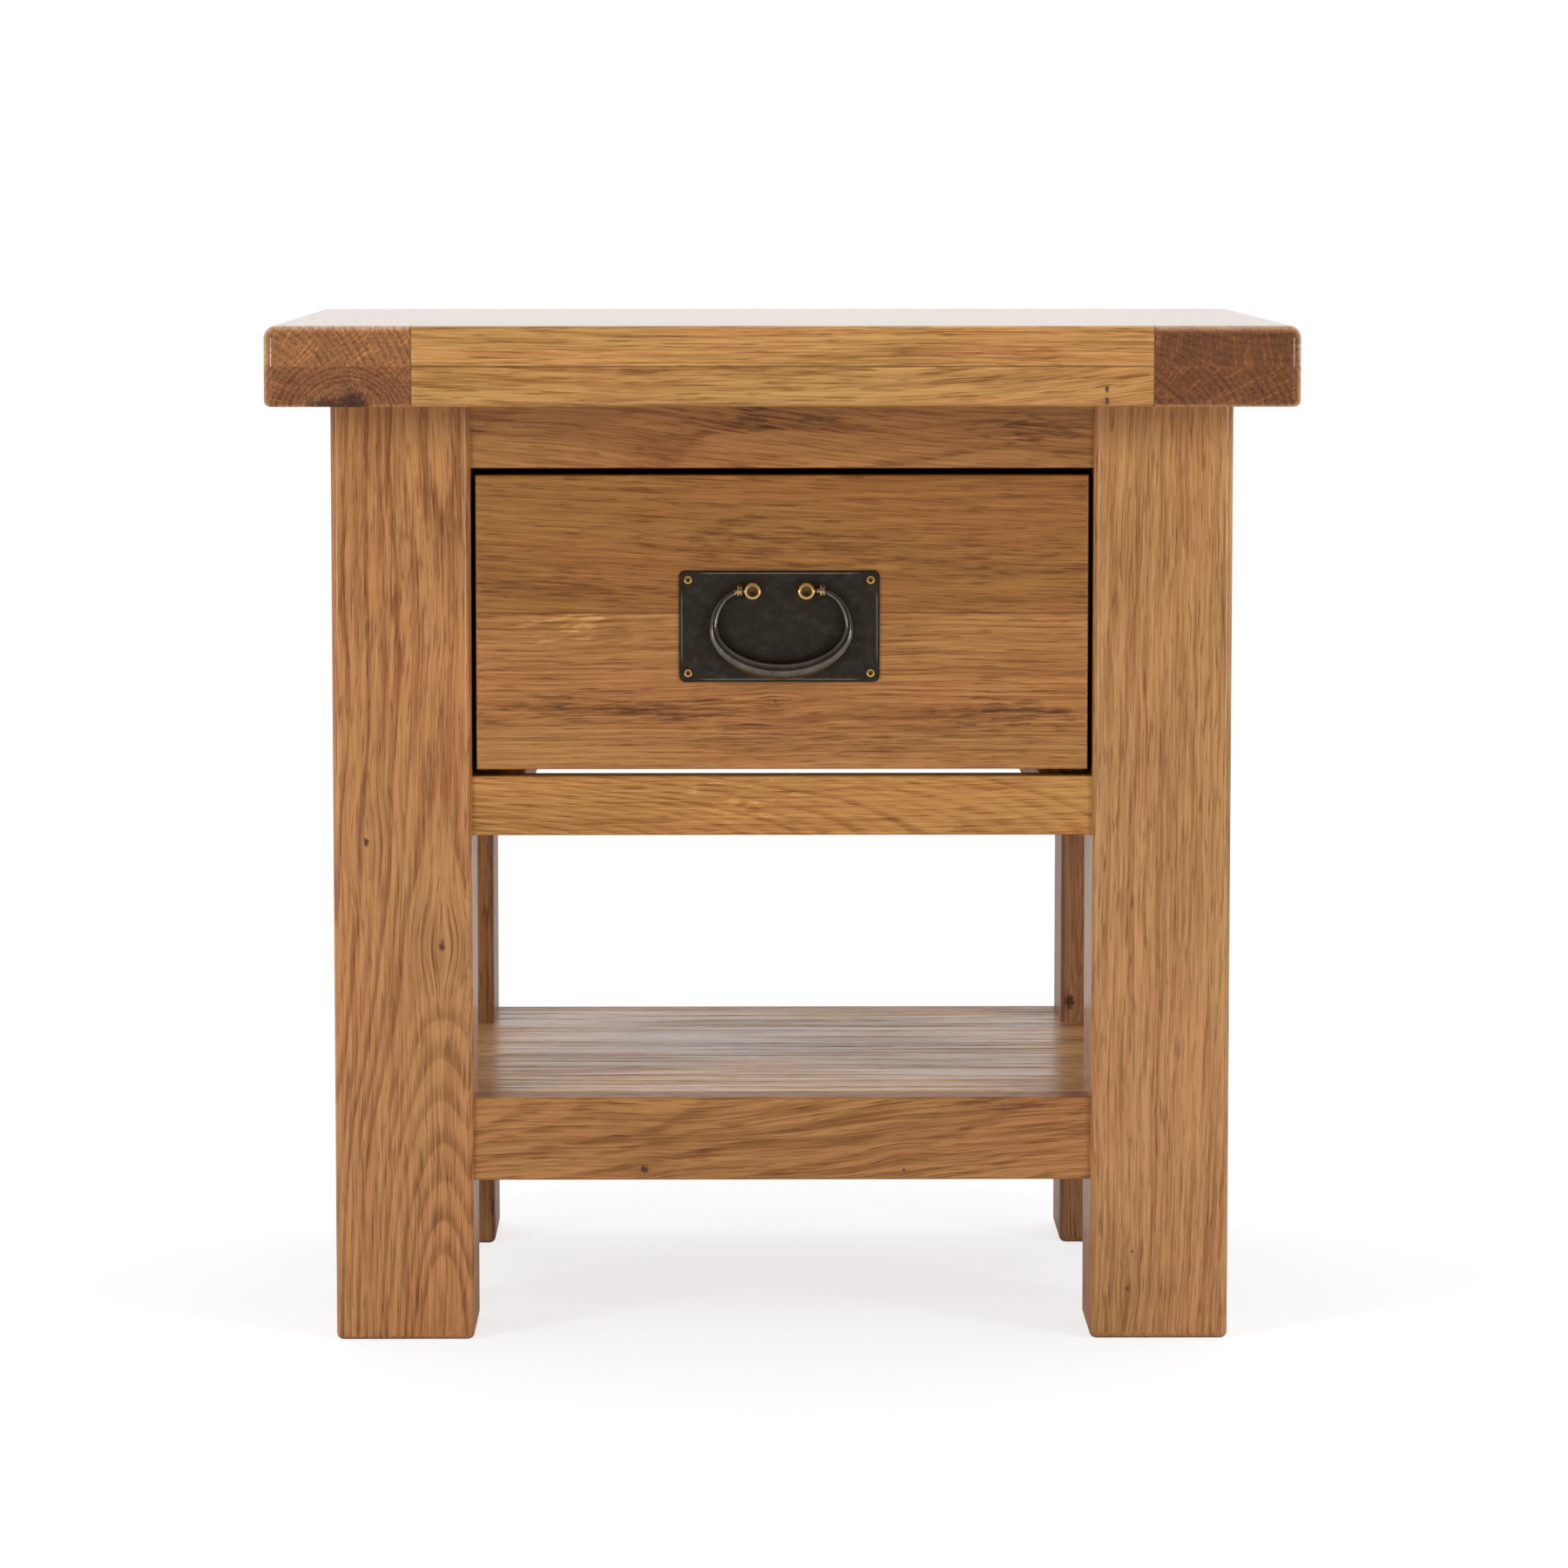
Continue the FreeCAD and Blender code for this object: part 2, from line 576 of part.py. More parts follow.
def make_plate():
    plate = board("handle_plate", ("handle_x - plate_wide/2", "plate_wide"),
                  between("-plate_face", "-rail_out"), ("plate_mid - plate_tall/2", "plate_tall"))
    rounded(plate, "plate_corner", (("left", "bottom"), ()), (("left", "top"), ()),
            (("right", "bottom"), ()), (("right", "top"), ()))
    names = edges_on(plate, ("front",))
    flat = plate.Tip
    bevel = plate.newObject("PartDesign::Chamfer", "Bevel")
    bevel.Base = (flat, names)
    bevel.setExpression("Size", bound("plate_bevel"))
    doc.recompute()
    for side in (-1, 1):
        bore(plate, "PostHole", "Y", "post_shank + screw_play",
             (f"handle_x + {side}*post_x", "-plate_face", "post_z"), "plate_thick")
        for row in (-1, 1):
            bore(plate, "StudHole", "Y", "stud_shank + screw_play",
                 (f"handle_x + {side}*pin_x", "-plate_face", f"plate_mid + {row}*pin_z"), "plate_thick")


def turned(label, points, centre, hidden=False):
    """A turned piece: its profile is (radius, distance forward), spun about an axis along Y."""
    body = new_body(label, *centre)
    sketch = outline(body, "Profile", "XY_Plane", [(r, f"-({out})") for r, out in points])
    spun = body.newObject("PartDesign::Revolution", "Turned")
    spun.Profile = sketch
    spun.ReferenceAxis = (plane(body, "Y_Axis"), [""])
    spun.Angle = 360
    doc.recompute()
    if not hidden:
        nodes.append(body)
    return body


def make_posts():
    tail = "plate_thick + front_thick + washer_thick + nut_thick + post_tail"
    points = [(0, f"-({tail})"), ("post_shank", f"-({tail})"), ("post_shank", "0"),
              ("post_foot", "0"), ("post_waist", "waist_out"), ("post_radius", "post_shoulder"),
              ("post_radius", "post_long - post_rim"),
              ("post_radius - 0.3*post_rim", "post_long - 0.3*post_rim"),
              ("post_radius - post_rim", "post_long"),
              ("post_radius - 1.5*post_rim", "post_long - 0.4*post_rim"), (0, "post_long - post_dish")]
    for name, side in SIDES.items():
        centre = (f"handle_x + {side}*post_x", "-plate_face", "post_z")
        post = turned(f"handle_post_{name}", points, centre)
        mouth = "-(post_radius + screw_room)" if side < 0 else "post_radius - pivot_deep"
        low = f"handle_x + {side}*post_x + {mouth}"
        bore(post, "PivotBore", "X", "pivot_bore", (low, "-pivot_y", "post_z"), "pivot_deep + screw_room")


def bail_line(t):
    """A point of the bail's centre line, from the left neck (t=0) to the right one (t=1)."""
    half, neck = value("bail_half"), value("bail_neck")
    waist, drop = value("bail_waist"), value("bail_drop")
    side = -1 if t < 0.5 else 1
    along = min(t, 1 - t) * 2
    if along < NECK_SHARE:
        angle = math.pi / 2 * along / NECK_SHARE
        return side * (neck + (half - neck) * math.sin(angle)), waist * (math.cos(angle) - 1)
    angle = math.pi / 2 * (along - NECK_SHARE) / (1 - NECK_SHARE)
    return side * half * math.cos(angle), -waist - (drop - waist) * math.sin(angle)


def bail_radius(t):
    """The bail swells from its necks to the middle of its loop."""
    end, mid, low = value("bail_end_radius"), value("bail_side_radius"), value("bail_low_radius")
    along = min(t, 1 - t) * 2
    if along < NECK_SHARE:
        return end + (mid - end) * along / NECK_SHARE
    share = (along - NECK_SHARE) / (1 - NECK_SHARE)
    return mid + (low - mid) * math.sin(math.pi / 2 * share)


def make_bail():
    """A swelling oval loop, with a pin and two collar rings at each end."""
    rings = []
    for number in range(BAIL_SECTIONS):
        t = number / (BAIL_SECTIONS - 1)
        x, z = bail_line(t)
        x0, z0 = bail_line(max(t - BAIL_STEP, 0))
        x1, z1 = bail_line(min(t + BAIL_STEP, 1))
        spine = Part.Circle(FreeCAD.Vector(x, 0, z), FreeCAD.Vector(x1 - x0, 0, z1 - z0), bail_radius(t))
        rings.append(Part.Wire([spine.toShape()]))
    shape = Part.makeLoft(rings, True, False)
    pin_out = value("bail_neck + pin_root")
    pin_long = pin_out - value("post_x + post_radius - pivot_deep + bail_play + pin_play")
    for side in (-1, 1):
        way = FreeCAD.Vector(-side, 0, 0)
        pin_start = FreeCAD.Vector(side * pin_out, 0, 0)
        shape = shape.fuse(Part.makeCylinder(value("pivot_pin"), pin_long, pin_start, way))
        for ring in range(2):
            start = value("collar_in") + ring * value("collar_wide + collar_gap")
            place = FreeCAD.Vector(side * (start + value("collar_wide")), 0, 0)
            disc = Part.makeCylinder(value("collar_radius"), value("collar_wide"), place, way)
            shape = shape.fuse(disc.makeFillet(value("collar_wide") * COLLAR_SOFTEN, disc.Edges))
        spool = value("2*collar_wide + collar_gap")
        place = FreeCAD.Vector(side * (value("collar_in") + spool), 0, 0)
        shape = shape.fuse(Part.makeCylinder(value("spool_radius"), spool, place, way))
    bail = doc.addObject("Part::Feature", "handle_bail")
    bail.Label = "handle_bail"
    bail.Shape = shape.removeSplitter()
    bail.Placement = FreeCAD.Placement(
        FreeCAD.Vector(value("handle_x + bail_play"), value("-pivot_y"), value("post_z")),
        FreeCAD.Rotation())
    nodes.append(bail)


# ---------------------------------------------------------------- fasteners

def group(label, blank, spots):
    """Copies of one blank at each spot, as separate solids in one sub-part."""
    origin = blank.Placement.Base
    copies = []
    for spot in spots:
        place = FreeCAD.Vector(*(value(word) for word in spot))
        copy = blank.Shape.copy()
        copy.translate(place - origin)
        copies.append(copy)
    feature = doc.addObject("Part::Feature", label)
    feature.Label = label
    feature.Shape = Part.makeCompound(copies)
    feature.Placement = FreeCAD.Placement()
    nodes.append(feature)


def screw_blank(label, shank, head, long):
    """A countersunk screw that points up, its head's face at the body's own origin."""
    body = new_body(label, 0, 0, 0)
    points = [(0, 0), (head, 0), (head, "head_rim"), (shank, f"{head} - {shank} + head_rim"),
              (shank, f"{long} - screw_point"), (0, long)]
    sketch = outline(body, "Profile", "XZ_Plane", points)
    spun = body.newObject("PartDesign::Revolution", "Turned")
    spun.Profile = sketch
    spun.ReferenceAxis = (plane(body, "Z_Axis"), [""])
    spun.Angle = 360
    doc.recompute()
    block(body, "Slot", centred(head), centred("slot_half"), ("-slot_deep", "2*slot_deep"))
    doc.recompute()
    return body


def make_fasteners():
    long_screw = screw_blank("wood_screw_blank", "screw_shank", "screw_head", "screw_long")
    short_screw = screw_blank("small_screw_blank", "small_shank", "small_head", "small_long")
    top_spots = [spot for side in (-1, 1) for spot in fixing_spots(side)]
    group("top_fixing_screws", long_screw, top_spots)
    group("shelf_screws", long_screw, cleat_spots())
    group("drawer_base_screws", short_screw, base_screw_spots())
    make_studs()
    make_nuts()


def make_studs():
    """Round-headed brass screws that hold the handle's plate."""
    points = [(0, "-stud_long"), ("stud_shank", "screw_point - stud_long"), ("stud_shank", "0"),
              ("stud_head", "0"), ("stud_head", "0.3*stud_dome"), ("0.85*stud_head", "0.75*stud_dome"),
              ("0.6*stud_head", "stud_dome"), ("0.42*stud_head", "stud_dome"),
              ("0.36*stud_head", "0.35*stud_dome"), (0, "0.3*stud_dome")]
    blank = turned("stud_blank", points, (0, 0, 0), hidden=True)
    spots = [(f"handle_x + {side}*pin_x", "-plate_face", f"plate_mid + {row}*pin_z")
             for side in (-1, 1) for row in (-1, 1)]
    group("handle_plate_screws", blank, spots)


def make_nuts():
    """Washers and hexagon nuts on the posts, inside the drawer."""
    hole = "post_shank + screw_play"
    washer = turned("washer_blank", [(hole, "0"), ("washer_radius", "0"),
                                     ("washer_radius", "-washer_thick"), (hole, "-washer_thick")],
                    (0, 0, 0), hidden=True)
    spots = [(f"handle_x + {side}*post_x", "-front_back", "post_z") for side in (-1, 1)]
    group("handle_post_washers", washer, spots)
    nut = new_body("nut_blank", 0, 0, 0)
    points = [(f"nut_radius*cos({60 * corner_number} deg)", f"nut_radius*sin({60 * corner_number} deg)")
              for corner_number in range(6)]
    pad(nut, outline(nut, "Hexagon", "XZ_Plane", points), "nut_thick")
    bore(nut, "Thread", "Y", hole, (0, "-nut_thick", 0), "nut_thick")
    doc.recompute()
    spots = [(x, f"{y} + washer_thick + nut_thick", z) for x, y, z in spots]
    group("handle_post_nuts", nut, spots)


# ---------------------------------------------------------------- build, check and write

def check():
    doc.recompute()
    for item in doc.Objects:
        if "Invalid" in item.State or "Error" in item.State:
            raise RuntimeError(f"{item.Label} failed: {item.State}")
    for node in nodes:
        if node.Shape.isNull() or not node.Shape.isValid() or node.Shape.Volume <= 0:
            raise RuntimeError(f"{node.Label} has no valid solid")


def write():
    os.makedirs("parts", exist_ok=True)
    for node in nodes:
        node.Shape.exportStep(f"parts/{node.Label}.step")
        box = node.Shape.BoundBox
        print(f"{node.Label}: {len(node.Shape.Solids)} solid, {node.Shape.Volume / 1000:.1f} cm3,"
              f" z {box.ZMin:.1f} to {box.ZMax:.1f}")


sheet = make_sheet()
make_top()
make_frame()
make_shelf()
make_drawer_guides()
make_drawer_front()
make_drawer_sides()
make_drawer_box()
make_plate()
make_posts()
make_bail()
make_fasteners()
check()
write()
print(len(nodes), "sub-parts")
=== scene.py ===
import math
import random

import bpy
from mathutils import Euler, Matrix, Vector


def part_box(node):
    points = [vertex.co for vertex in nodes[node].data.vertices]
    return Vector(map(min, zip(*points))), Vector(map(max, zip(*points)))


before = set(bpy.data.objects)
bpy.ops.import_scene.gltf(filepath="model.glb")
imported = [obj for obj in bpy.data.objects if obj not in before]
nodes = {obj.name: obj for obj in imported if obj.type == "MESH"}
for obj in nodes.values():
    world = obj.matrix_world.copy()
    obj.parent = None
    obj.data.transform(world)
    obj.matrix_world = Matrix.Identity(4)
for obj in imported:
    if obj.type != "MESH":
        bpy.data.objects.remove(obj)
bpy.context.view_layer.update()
MM = 0.001

# ---------------------------------------------------------------- the table's own places

leg_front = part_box("leg_front_left")[0].y
plate_low, plate_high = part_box("handle_plate")


# ---------------------------------------------------------------- building node trees

class Graph:
    """Adds and joins nodes in one tree. A value may be a number, a colour or a socket."""

    def __init__(self, tree):
        self.tree = tree

    def feed(self, socket, value):
        if isinstance(value, bpy.types.NodeSocket):
            self.tree.links.new(value, socket)
        else:
            socket.default_value = value

    def add(self, kind, **inputs):
        node = self.tree.nodes.new(kind)
        for name, value in inputs.items():
            self.feed(node.inputs[name.replace("_", " ")], value)
        return node

    def math(self, operation, *values, clamp=False):
        node = self.tree.nodes.new("ShaderNodeMath")
        node.operation = operation
        node.use_clamp = clamp
        for socket, value in zip(node.inputs, values):
            self.feed(socket, value)
        return node.outputs[0]

    def total(self, first, *others, clamp=False):
        for number, other in enumerate(others, start=1):
            first = self.math("ADD", first, other, clamp=clamp and number == len(others))
        return first

    def vector(self, operation, *values, scale=None):
        node = self.tree.nodes.new("ShaderNodeVectorMath")
        node.operation = operation
        for socket, value in zip(node.inputs, values):
            self.feed(socket, value)
        if scale is not None:
            self.feed(node.inputs["Scale"], scale)
        return node.outputs["Value"] if operation in ("LENGTH", "DOT_PRODUCT") else node.outputs[0]

    def split(self, vector):
        node = self.add("ShaderNodeSeparateXYZ", Vector=vector)
        return node.outputs[0], node.outputs[1], node.outputs[2]

    def join(self, x, y, z):
        node = self.add("ShaderNodeCombineXYZ", X=x, Y=y, Z=z)
        return node.outputs[0]

    def noise(self, vector, scale, detail=2.0, roughness=0.5, distortion=0.0, colour=False):
        node = self.add("ShaderNodeTexNoise", Vector=vector, Scale=scale, Detail=detail,
                        Roughness=roughness, Distortion=distortion)
        return node.outputs["Color" if colour else "Fac"]

    def stretched(self, vector, across, along, **kind):
        """Noise drawn out along a board's grain: waves per metre across it and along it."""
        return self.noise(self.vector("MULTIPLY", vector, (across, across, along)), 1.0, **kind)

    def sway(self, vector, across, along, amount):
        """A soft random push, up to about half the amount each way."""
        push = self.stretched(vector, across, along, detail=1.5, colour=True)
        return self.vector("SCALE", self.vector("SUBTRACT", push, (0.5, 0.5, 0.5)), scale=amount)

    def span(self, value, low, high, to_low=0.0, to_high=1.0, smooth=False):
        """Maps a value's range from low..high to to_low..to_high and holds it there."""
        node = self.add("ShaderNodeMapRange")
        node.interpolation_type = "SMOOTHSTEP" if smooth else "LINEAR"
        for name, number in (("Value", value), ("From Min", low), ("From Max", high),
                             ("To Min", to_low), ("To Max", to_high)):
            self.feed(node.inputs[name], number)
        return node.outputs[0]

    def mix(self, share, first, second, blend="MIX"):
        node = self.tree.nodes.new("ShaderNodeMix")
        node.data_type = "RGBA"
        node.blend_type = blend
        self.feed(node.inputs[0], share)
        self.feed(node.inputs[6], first)
        self.feed(node.inputs[7], second)
        return node.outputs[2]

    def tint(self, share, colour, factor):
        """The colour, multiplied by a factor of its own for red, green and blue, by a share."""
        return self.mix(share, colour, (*factor, 1), "MULTIPLY")


KINDS = {"value": "NodeSocketFloat", "vector": "NodeSocketVector", "colour": "NodeSocketColor"}


def new_group(name, inputs, outputs):
    """A shader node group. Inputs are (name, kind, default), outputs are (name, kind)."""
    tree = bpy.data.node_groups.new(name, "ShaderNodeTree")
    for label, kind, default in inputs:
        socket = tree.interface.new_socket(label, in_out="INPUT", socket_type=KINDS[kind])
        socket.default_value = (*default, 1) if kind == "colour" else default
    for label, kind in outputs:
        tree.interface.new_socket(label, in_out="OUTPUT", socket_type=KINDS[kind])
    given = tree.nodes.new("NodeGroupInput").outputs
    result = tree.nodes.new("NodeGroupOutput").inputs
    return tree, Graph(tree), given, result


def place_group(graph, tree, **inputs):
    node = graph.tree.nodes.new("ShaderNodeGroup")
    node.node_tree = tree
    for name, value in inputs.items():
        graph.feed(node.inputs[name.replace("_", " ")], value)
    return node.outputs


# ---------------------------------------------------------------- shared effects

def make_oak_group():
    """Oak, cut from a log whose pith runs along Z through the origin of Board."""
    tree, g, given, result = new_group(
        "Oak",
        [("Board", "vector", (0, 0, 0)), ("Face", "vector", (0, 1, 0)), ("End", "value", 0.0),
         ("Ring gap", "value", 0.0035), ("Taper", "value", 0.0), ("Taper end", "value", 9.0),
         ("Trunk", "value", 0.0),
         ("Wander", "value", 0.010), ("Ripple", "value", 0.004), ("Shade", "colour", (0.4, 0.2, 0.07)),
         ("End shade", "colour", (0.2, 0.1, 0.04)), ("Contrast", "value", 1.0), ("Rings", "value", 1.0),
         ("Pores", "value", 1.0), ("Flecks", "value", 0.0), ("Stain", "value", 0.0)],
        [("Color", "colour"), ("Roughness", "value"), ("Height", "value")])
    board = g.vector("ADD", given["Board"], g.join(0, 0, given["Trunk"]))
    lean = g.vector("ADD", g.sway(board, 7, 1.8, g.math("MULTIPLY", given["Wander"], 4.0)),
                    g.sway(board, 16, 9, given["Ripple"]))
    lean = g.vector("ADD", lean, g.sway(board, 90, 45, 0.0005))
    x, y, z = g.split(g.vector("ADD", given["Board"], lean))
    cone = g.math("SMOOTH_MIN", z, given["Taper end"], 0.08)
    y = g.math("SUBTRACT", y, g.math("MULTIPLY", cone, given["Taper"]))
    radius = g.math("SQRT", g.total(g.math("MULTIPLY", x, x), g.math("MULTIPLY", y, y)))
    turn = g.math("ARCTAN2", y, x)
    uneven = g.noise(g.join(0, 0, g.math("MULTIPLY", radius, 90)), 1.0, detail=1)
    years = g.total(g.math("DIVIDE", radius, given["Ring gap"]), g.math("MULTIPLY", uneven, 1.6))
    phase = g.math("FRACT", years)
    own = g.tree.nodes.new("ShaderNodeTexWhiteNoise")
    own.noise_dimensions = "1D"
    g.feed(own.inputs["W"], g.math("FLOOR", years))
    # each year starts with a narrow band of open spring wood and goes over into dense summer wood
    spring = g.math("MULTIPLY", g.span(phase, 0.0, 0.14, smooth=True),
                    g.span(phase, 0.24, 0.75, 1, 0, smooth=True))
    band = g.math("MULTIPLY", spring, g.span(own.outputs["Value"], 0, 1, 0.3, 1.0))
    # fibres follow the face, so that each one shows at its full length
    through = g.vector("SCALE", given["Face"], scale=g.vector("DOT_PRODUCT", lean, given["Face"]))
    bent = g.vector("ADD", board, g.vector("SUBTRACT", lean, through))
    # broad changes of colour, silky streaks and fine fibres all run along the trunk
    broad = g.stretched(bent, 48, 3.5, detail=2.5)
    silk = g.stretched(bent, 260, 8, detail=2.5)
    thread = g.stretched(bent, 1250, 27, detail=2, roughness=0.8)
    fibre = g.stretched(bent, 560, 12, detail=2, roughness=0.6)
    cloud = g.stretched(bent, 1000, 55, detail=1.5, roughness=0.55)
    lines = g.span(g.stretched(bent, 430, 42, detail=3, roughness=0.7), 0.46, 0.60, smooth=True)
    bunch = g.stretched(bent, 210, 26, detail=1)
    crowd = g.total(g.span(band, 0, 1, 0.0, 0.06), g.span(bunch, 0.35, 0.7, 0, 0.05),
                    g.math("MULTIPLY", given["Stain"], 0.10))
    pore = g.span(g.total(cloud, crowd), 0.60, 0.72, 0, 1, smooth=True)
    pore = g.math("MULTIPLY", pore, given["Pores"], clamp=True)
    # rays are thin sheets from the pith outwards: flakes where a face lies along them
    aslant = g.math("MULTIPLY", g.math("ADD", z, g.math("MULTIPLY", x, 1.3)), 62)
    sheet = g.noise(g.join(g.math("MULTIPLY", x, 210), g.math("MULTIPLY", y, 60), aslant), 1.0,
                    detail=2.5, roughness=0.6, distortion=0.4)
    flake = g.math("MULTIPLY", g.span(sheet, 0.49, 0.58, smooth=True), given["Flecks"], clamp=True)
    spoke = g.noise(g.join(g.math("MULTIPLY", turn, 60), g.math("MULTIPLY", radius, 45), 0), 1.0, detail=2)
    spoke = g.span(spoke, 0.54, 0.66, smooth=True)
    # colour
    ring_depth = g.math("MULTIPLY", given["Rings"], 0.42)
    depth = g.total(g.math("MULTIPLY", g.math("SUBTRACT", band, 0.3), ring_depth),
                    g.span(broad, 0.3, 0.7, -0.20, 0.20), g.span(silk, 0.3, 0.7, -0.12, 0.12),
                    g.span(fibre, 0.3, 0.7, -0.24, 0.24), g.span(thread, 0.3, 0.7, -0.55, 0.55))
    depth = g.math("MULTIPLY", depth, given["Contrast"])
    # darker and redder where marked: real marks in the wood, halos round knots, and on one leg painted
    # shade
    stain_and_shade_share = g.math("MULTIPLY", given["Stain"], g.span(lines, 0, 1, 0.10, 0.85), clamp=True)
    ringed = g.math("MULTIPLY", given["End"], g.math("MULTIPLY", g.math("SUBTRACT", band, 0.3), 0.25))
    depth = g.total(depth, ringed, 0.48, clamp=True)
    factor = g.mix(depth, (1.32, 1.42, 1.60, 1), (0.68, 0.57, 0.40, 1))
    ruddy = g.span(g.stretched(bent, 26, 7, detail=2), 0.36, 0.64, smooth=True)
    side = g.mix(1.0, given["Shade"], factor, "MULTIPLY")
    side = g.mix(ruddy, g.tint(1.0, side, (0.985, 1.01, 0.98)), g.tint(1.0, side, (1.03, 0.965, 0.98)))
    side = g.tint(pore, side, (0.66, 0.57, 0.46))
    side = g.tint(stain_and_shade_share, side, (0.44, 0.37, 0.31))
    side = g.tint(flake, side, (1.38, 1.56, 1.80))
    end = g.mix(1.0, given["End shade"], factor, "MULTIPLY")
    end = g.tint(g.math("MULTIPLY", pore, 0.8), end, (0.62, 0.55, 0.48))
    end = g.tint(g.math("MULTIPLY", spoke, 0.8), end, (1.7, 1.7, 1.65))
    g.feed(result["Color"], g.mix(given["End"], side, end))
    rough = g.total(g.span(fibre, 0.3, 0.7, 0.42, 0.52), g.math("MULTIPLY", pore, 0.18),
                    g.math("MULTIPLY", given["End"], 0.12))
    g.feed(result["Roughness"], rough)
    g.feed(result["Height"], g.total(g.math("MULTIPLY", pore, -0.9), g.math("MULTIPLY", fibre, 0.4),
                                     g.math("MULTIPLY", band, -0.3)))
    return tree


def make_knot_group():
    """A knot on a face: it pushes the grain round itself and has a dark heart."""
    tree, g, given, result = new_group(
        "Knot",
        [("Point", "vector", (0, 0, 0)), ("Centre", "vector", (0, 0, 0)), ("Reach", "vector", (1, 1, 1)),
         ("Heart", "vector", (1, 1, 1)), ("Push", "value", 0.7)],
        [("Point", "vector"), ("Dark", "value"), ("Halo", "value")])
    away = g.vector("SUBTRACT", given["Point"], given["Centre"])
    far = g.vector("LENGTH", g.vector("DIVIDE", away, given["Reach"]))
    halo = g.math("EXPONENT", g.math("MULTIPLY", g.math("MULTIPLY", far, far), -1.0))
    shrink = g.math("MULTIPLY", g.math("MULTIPLY", halo, given["Push"]), -1.0)
    g.feed(result["Point"], g.vector("ADD", given["Point"], g.vector("SCALE", away, scale=shrink)))
    ragged = g.span(g.noise(given["Point"], 650, detail=3), 0.3, 0.7, -0.35, 0.35)
    near = g.total(g.vector("LENGTH", g.vector("DIVIDE", away, given["Heart"])), ragged)
    g.feed(result["Dark"], g.span(near, 0.45, 1.15, 1, 0, smooth=True))
    g.feed(result["Halo"], halo)
    return tree


def make_patch_group():
    """A soft-edged cloudy patch round a centre."""
    tree, g, given, result = new_group(
        "Patch",
        [("Point", "vector", (0, 0, 0)), ("Centre", "vector", (0, 0, 0)), ("Reach", "vector", (1, 1, 1))],
        [("Share", "value")])
    away = g.vector("DIVIDE", g.vector("SUBTRACT", given["Point"], given["Centre"]), given["Reach"])
    far = g.vector("LENGTH", away)
    cloud = g.noise(g.vector("DIVIDE", given["Point"], given["Reach"]), 3.2, detail=3.5, roughness=0.6)
    share = g.total(g.math("SUBTRACT", 1.15, far), g.span(cloud, 0.3, 0.7, -0.6, 0.6))
    g.feed(result["Share"], g.span(share, 0.0, 1.0, smooth=True))
    return tree


def make_edge_group():
    """Where a squared board's edges are lighter, partly from wear and partly as a painted highlight, and
    where it meets its neighbours in a glued seam.
    """
    tree, g, given, result = new_group(
        "BoardEdges",
        [("Point", "vector", (0, 0, 0)), ("Low", "vector", (0, 0, 0)), ("High", "vector", (1, 1, 1)),
         ("Seams low", "vector", (0, 0, 0)), ("Seams high", "vector", (0, 0, 0)),
         ("Edge width", "value", 0.004), ("Seam width", "value", 0.0006)],
        [("Worn_and_highlight", "value"), ("Seam", "value")])
    from_low = g.vector("SUBTRACT", given["Point"], given["Low"])
    from_high = g.vector("SUBTRACT", given["High"], given["Point"])
    near = g.vector("MINIMUM", from_low, from_high)
    near = g.vector("SCALE", near, scale=g.math("DIVIDE", 1.0, given["Edge width"]))
    close = [g.math("SUBTRACT", 1.0, part, clamp=True) for part in g.split(near)]
    pairs = [g.math("MULTIPLY", close[i], close[j]) for i, j in ((0, 1), (1, 2), (0, 2))]
    worn = g.math("MAXIMUM", g.math("MAXIMUM", pairs[0], pairs[1]), pairs[2])
    rub = g.noise(given["Point"], 160, detail=3)
    # lighter in patches along the arrises: partly wear, partly a painted highlight
    g.feed(result["Worn_and_highlight"], g.math("MULTIPLY", worn, g.span(rub, 0.35, 0.65, 0.25, 1.0), clamp=True))
    seam = 0.0
    for gap, sides in ((from_low, given["Seams low"]), (from_high, given["Seams high"])):
        scaled = g.vector("SCALE", gap, scale=g.math("DIVIDE", 1.0, given["Seam width"]))
        for part, used in zip(g.split(scaled), g.split(sides)):
            touching = g.math("SUBTRACT", 1.0, part, clamp=True)
            seam = g.math("MAXIMUM", seam, g.math("MULTIPLY", touching, used))
    g.feed(result["Seam"], seam)
    return tree


def make_patina_group():
    """Aged metal: cloudy darkening, fine scratches and bright rubbed places."""
    tree, g, given, result = new_group(
        "Patina",
        [("Point", "vector", (0, 0, 0)), ("Metal", "colour", (0.5, 0.5, 0.5)),
         ("Tarnish", "colour", (0.1, 0.1, 0.1)), ("Rubbed", "value", 0.0), ("Age", "value", 0.5),
         ("Rough", "value", 0.35)],
        [("Color", "colour"), ("Roughness", "value"), ("Height", "value")])
    cloud = g.noise(given["Point"], 190, detail=4, roughness=0.6)
    grit = g.noise(given["Point"], 2200, detail=2)
    scratch = g.noise(g.vector("MULTIPLY", given["Point"], (500, 500, 3200)), 1.0, detail=2)
    aged = g.total(g.span(cloud, 0.32, 0.68, -0.09, 0.09), g.span(grit, 0.3, 0.7, -0.09, 0.09),
                   given["Age"])
    aged = g.math("SUBTRACT", aged, given["Rubbed"], clamp=True)
    g.feed(result["Color"], g.mix(aged, given["Metal"], given["Tarnish"]))
    rough = g.total(given["Rough"], g.math("MULTIPLY", aged, 0.14), g.span(scratch, 0.4, 0.75, 0, 0.10))
    g.feed(result["Roughness"], rough)
    g.feed(result["Height"], g.total(g.math("MULTIPLY", grit, 0.3), g.math("MULTIPLY", cloud, 0.8),
                                     g.span(scratch, 0.62, 0.75, 0, -0.5)))
    return tree


OAK = make_oak_group()
KNOT = make_knot_group()
PATCH = make_patch_group()
EDGES = make_edge_group()
PATINA = make_patina_group()

# ---------------------------------------------------------------- materials of wood

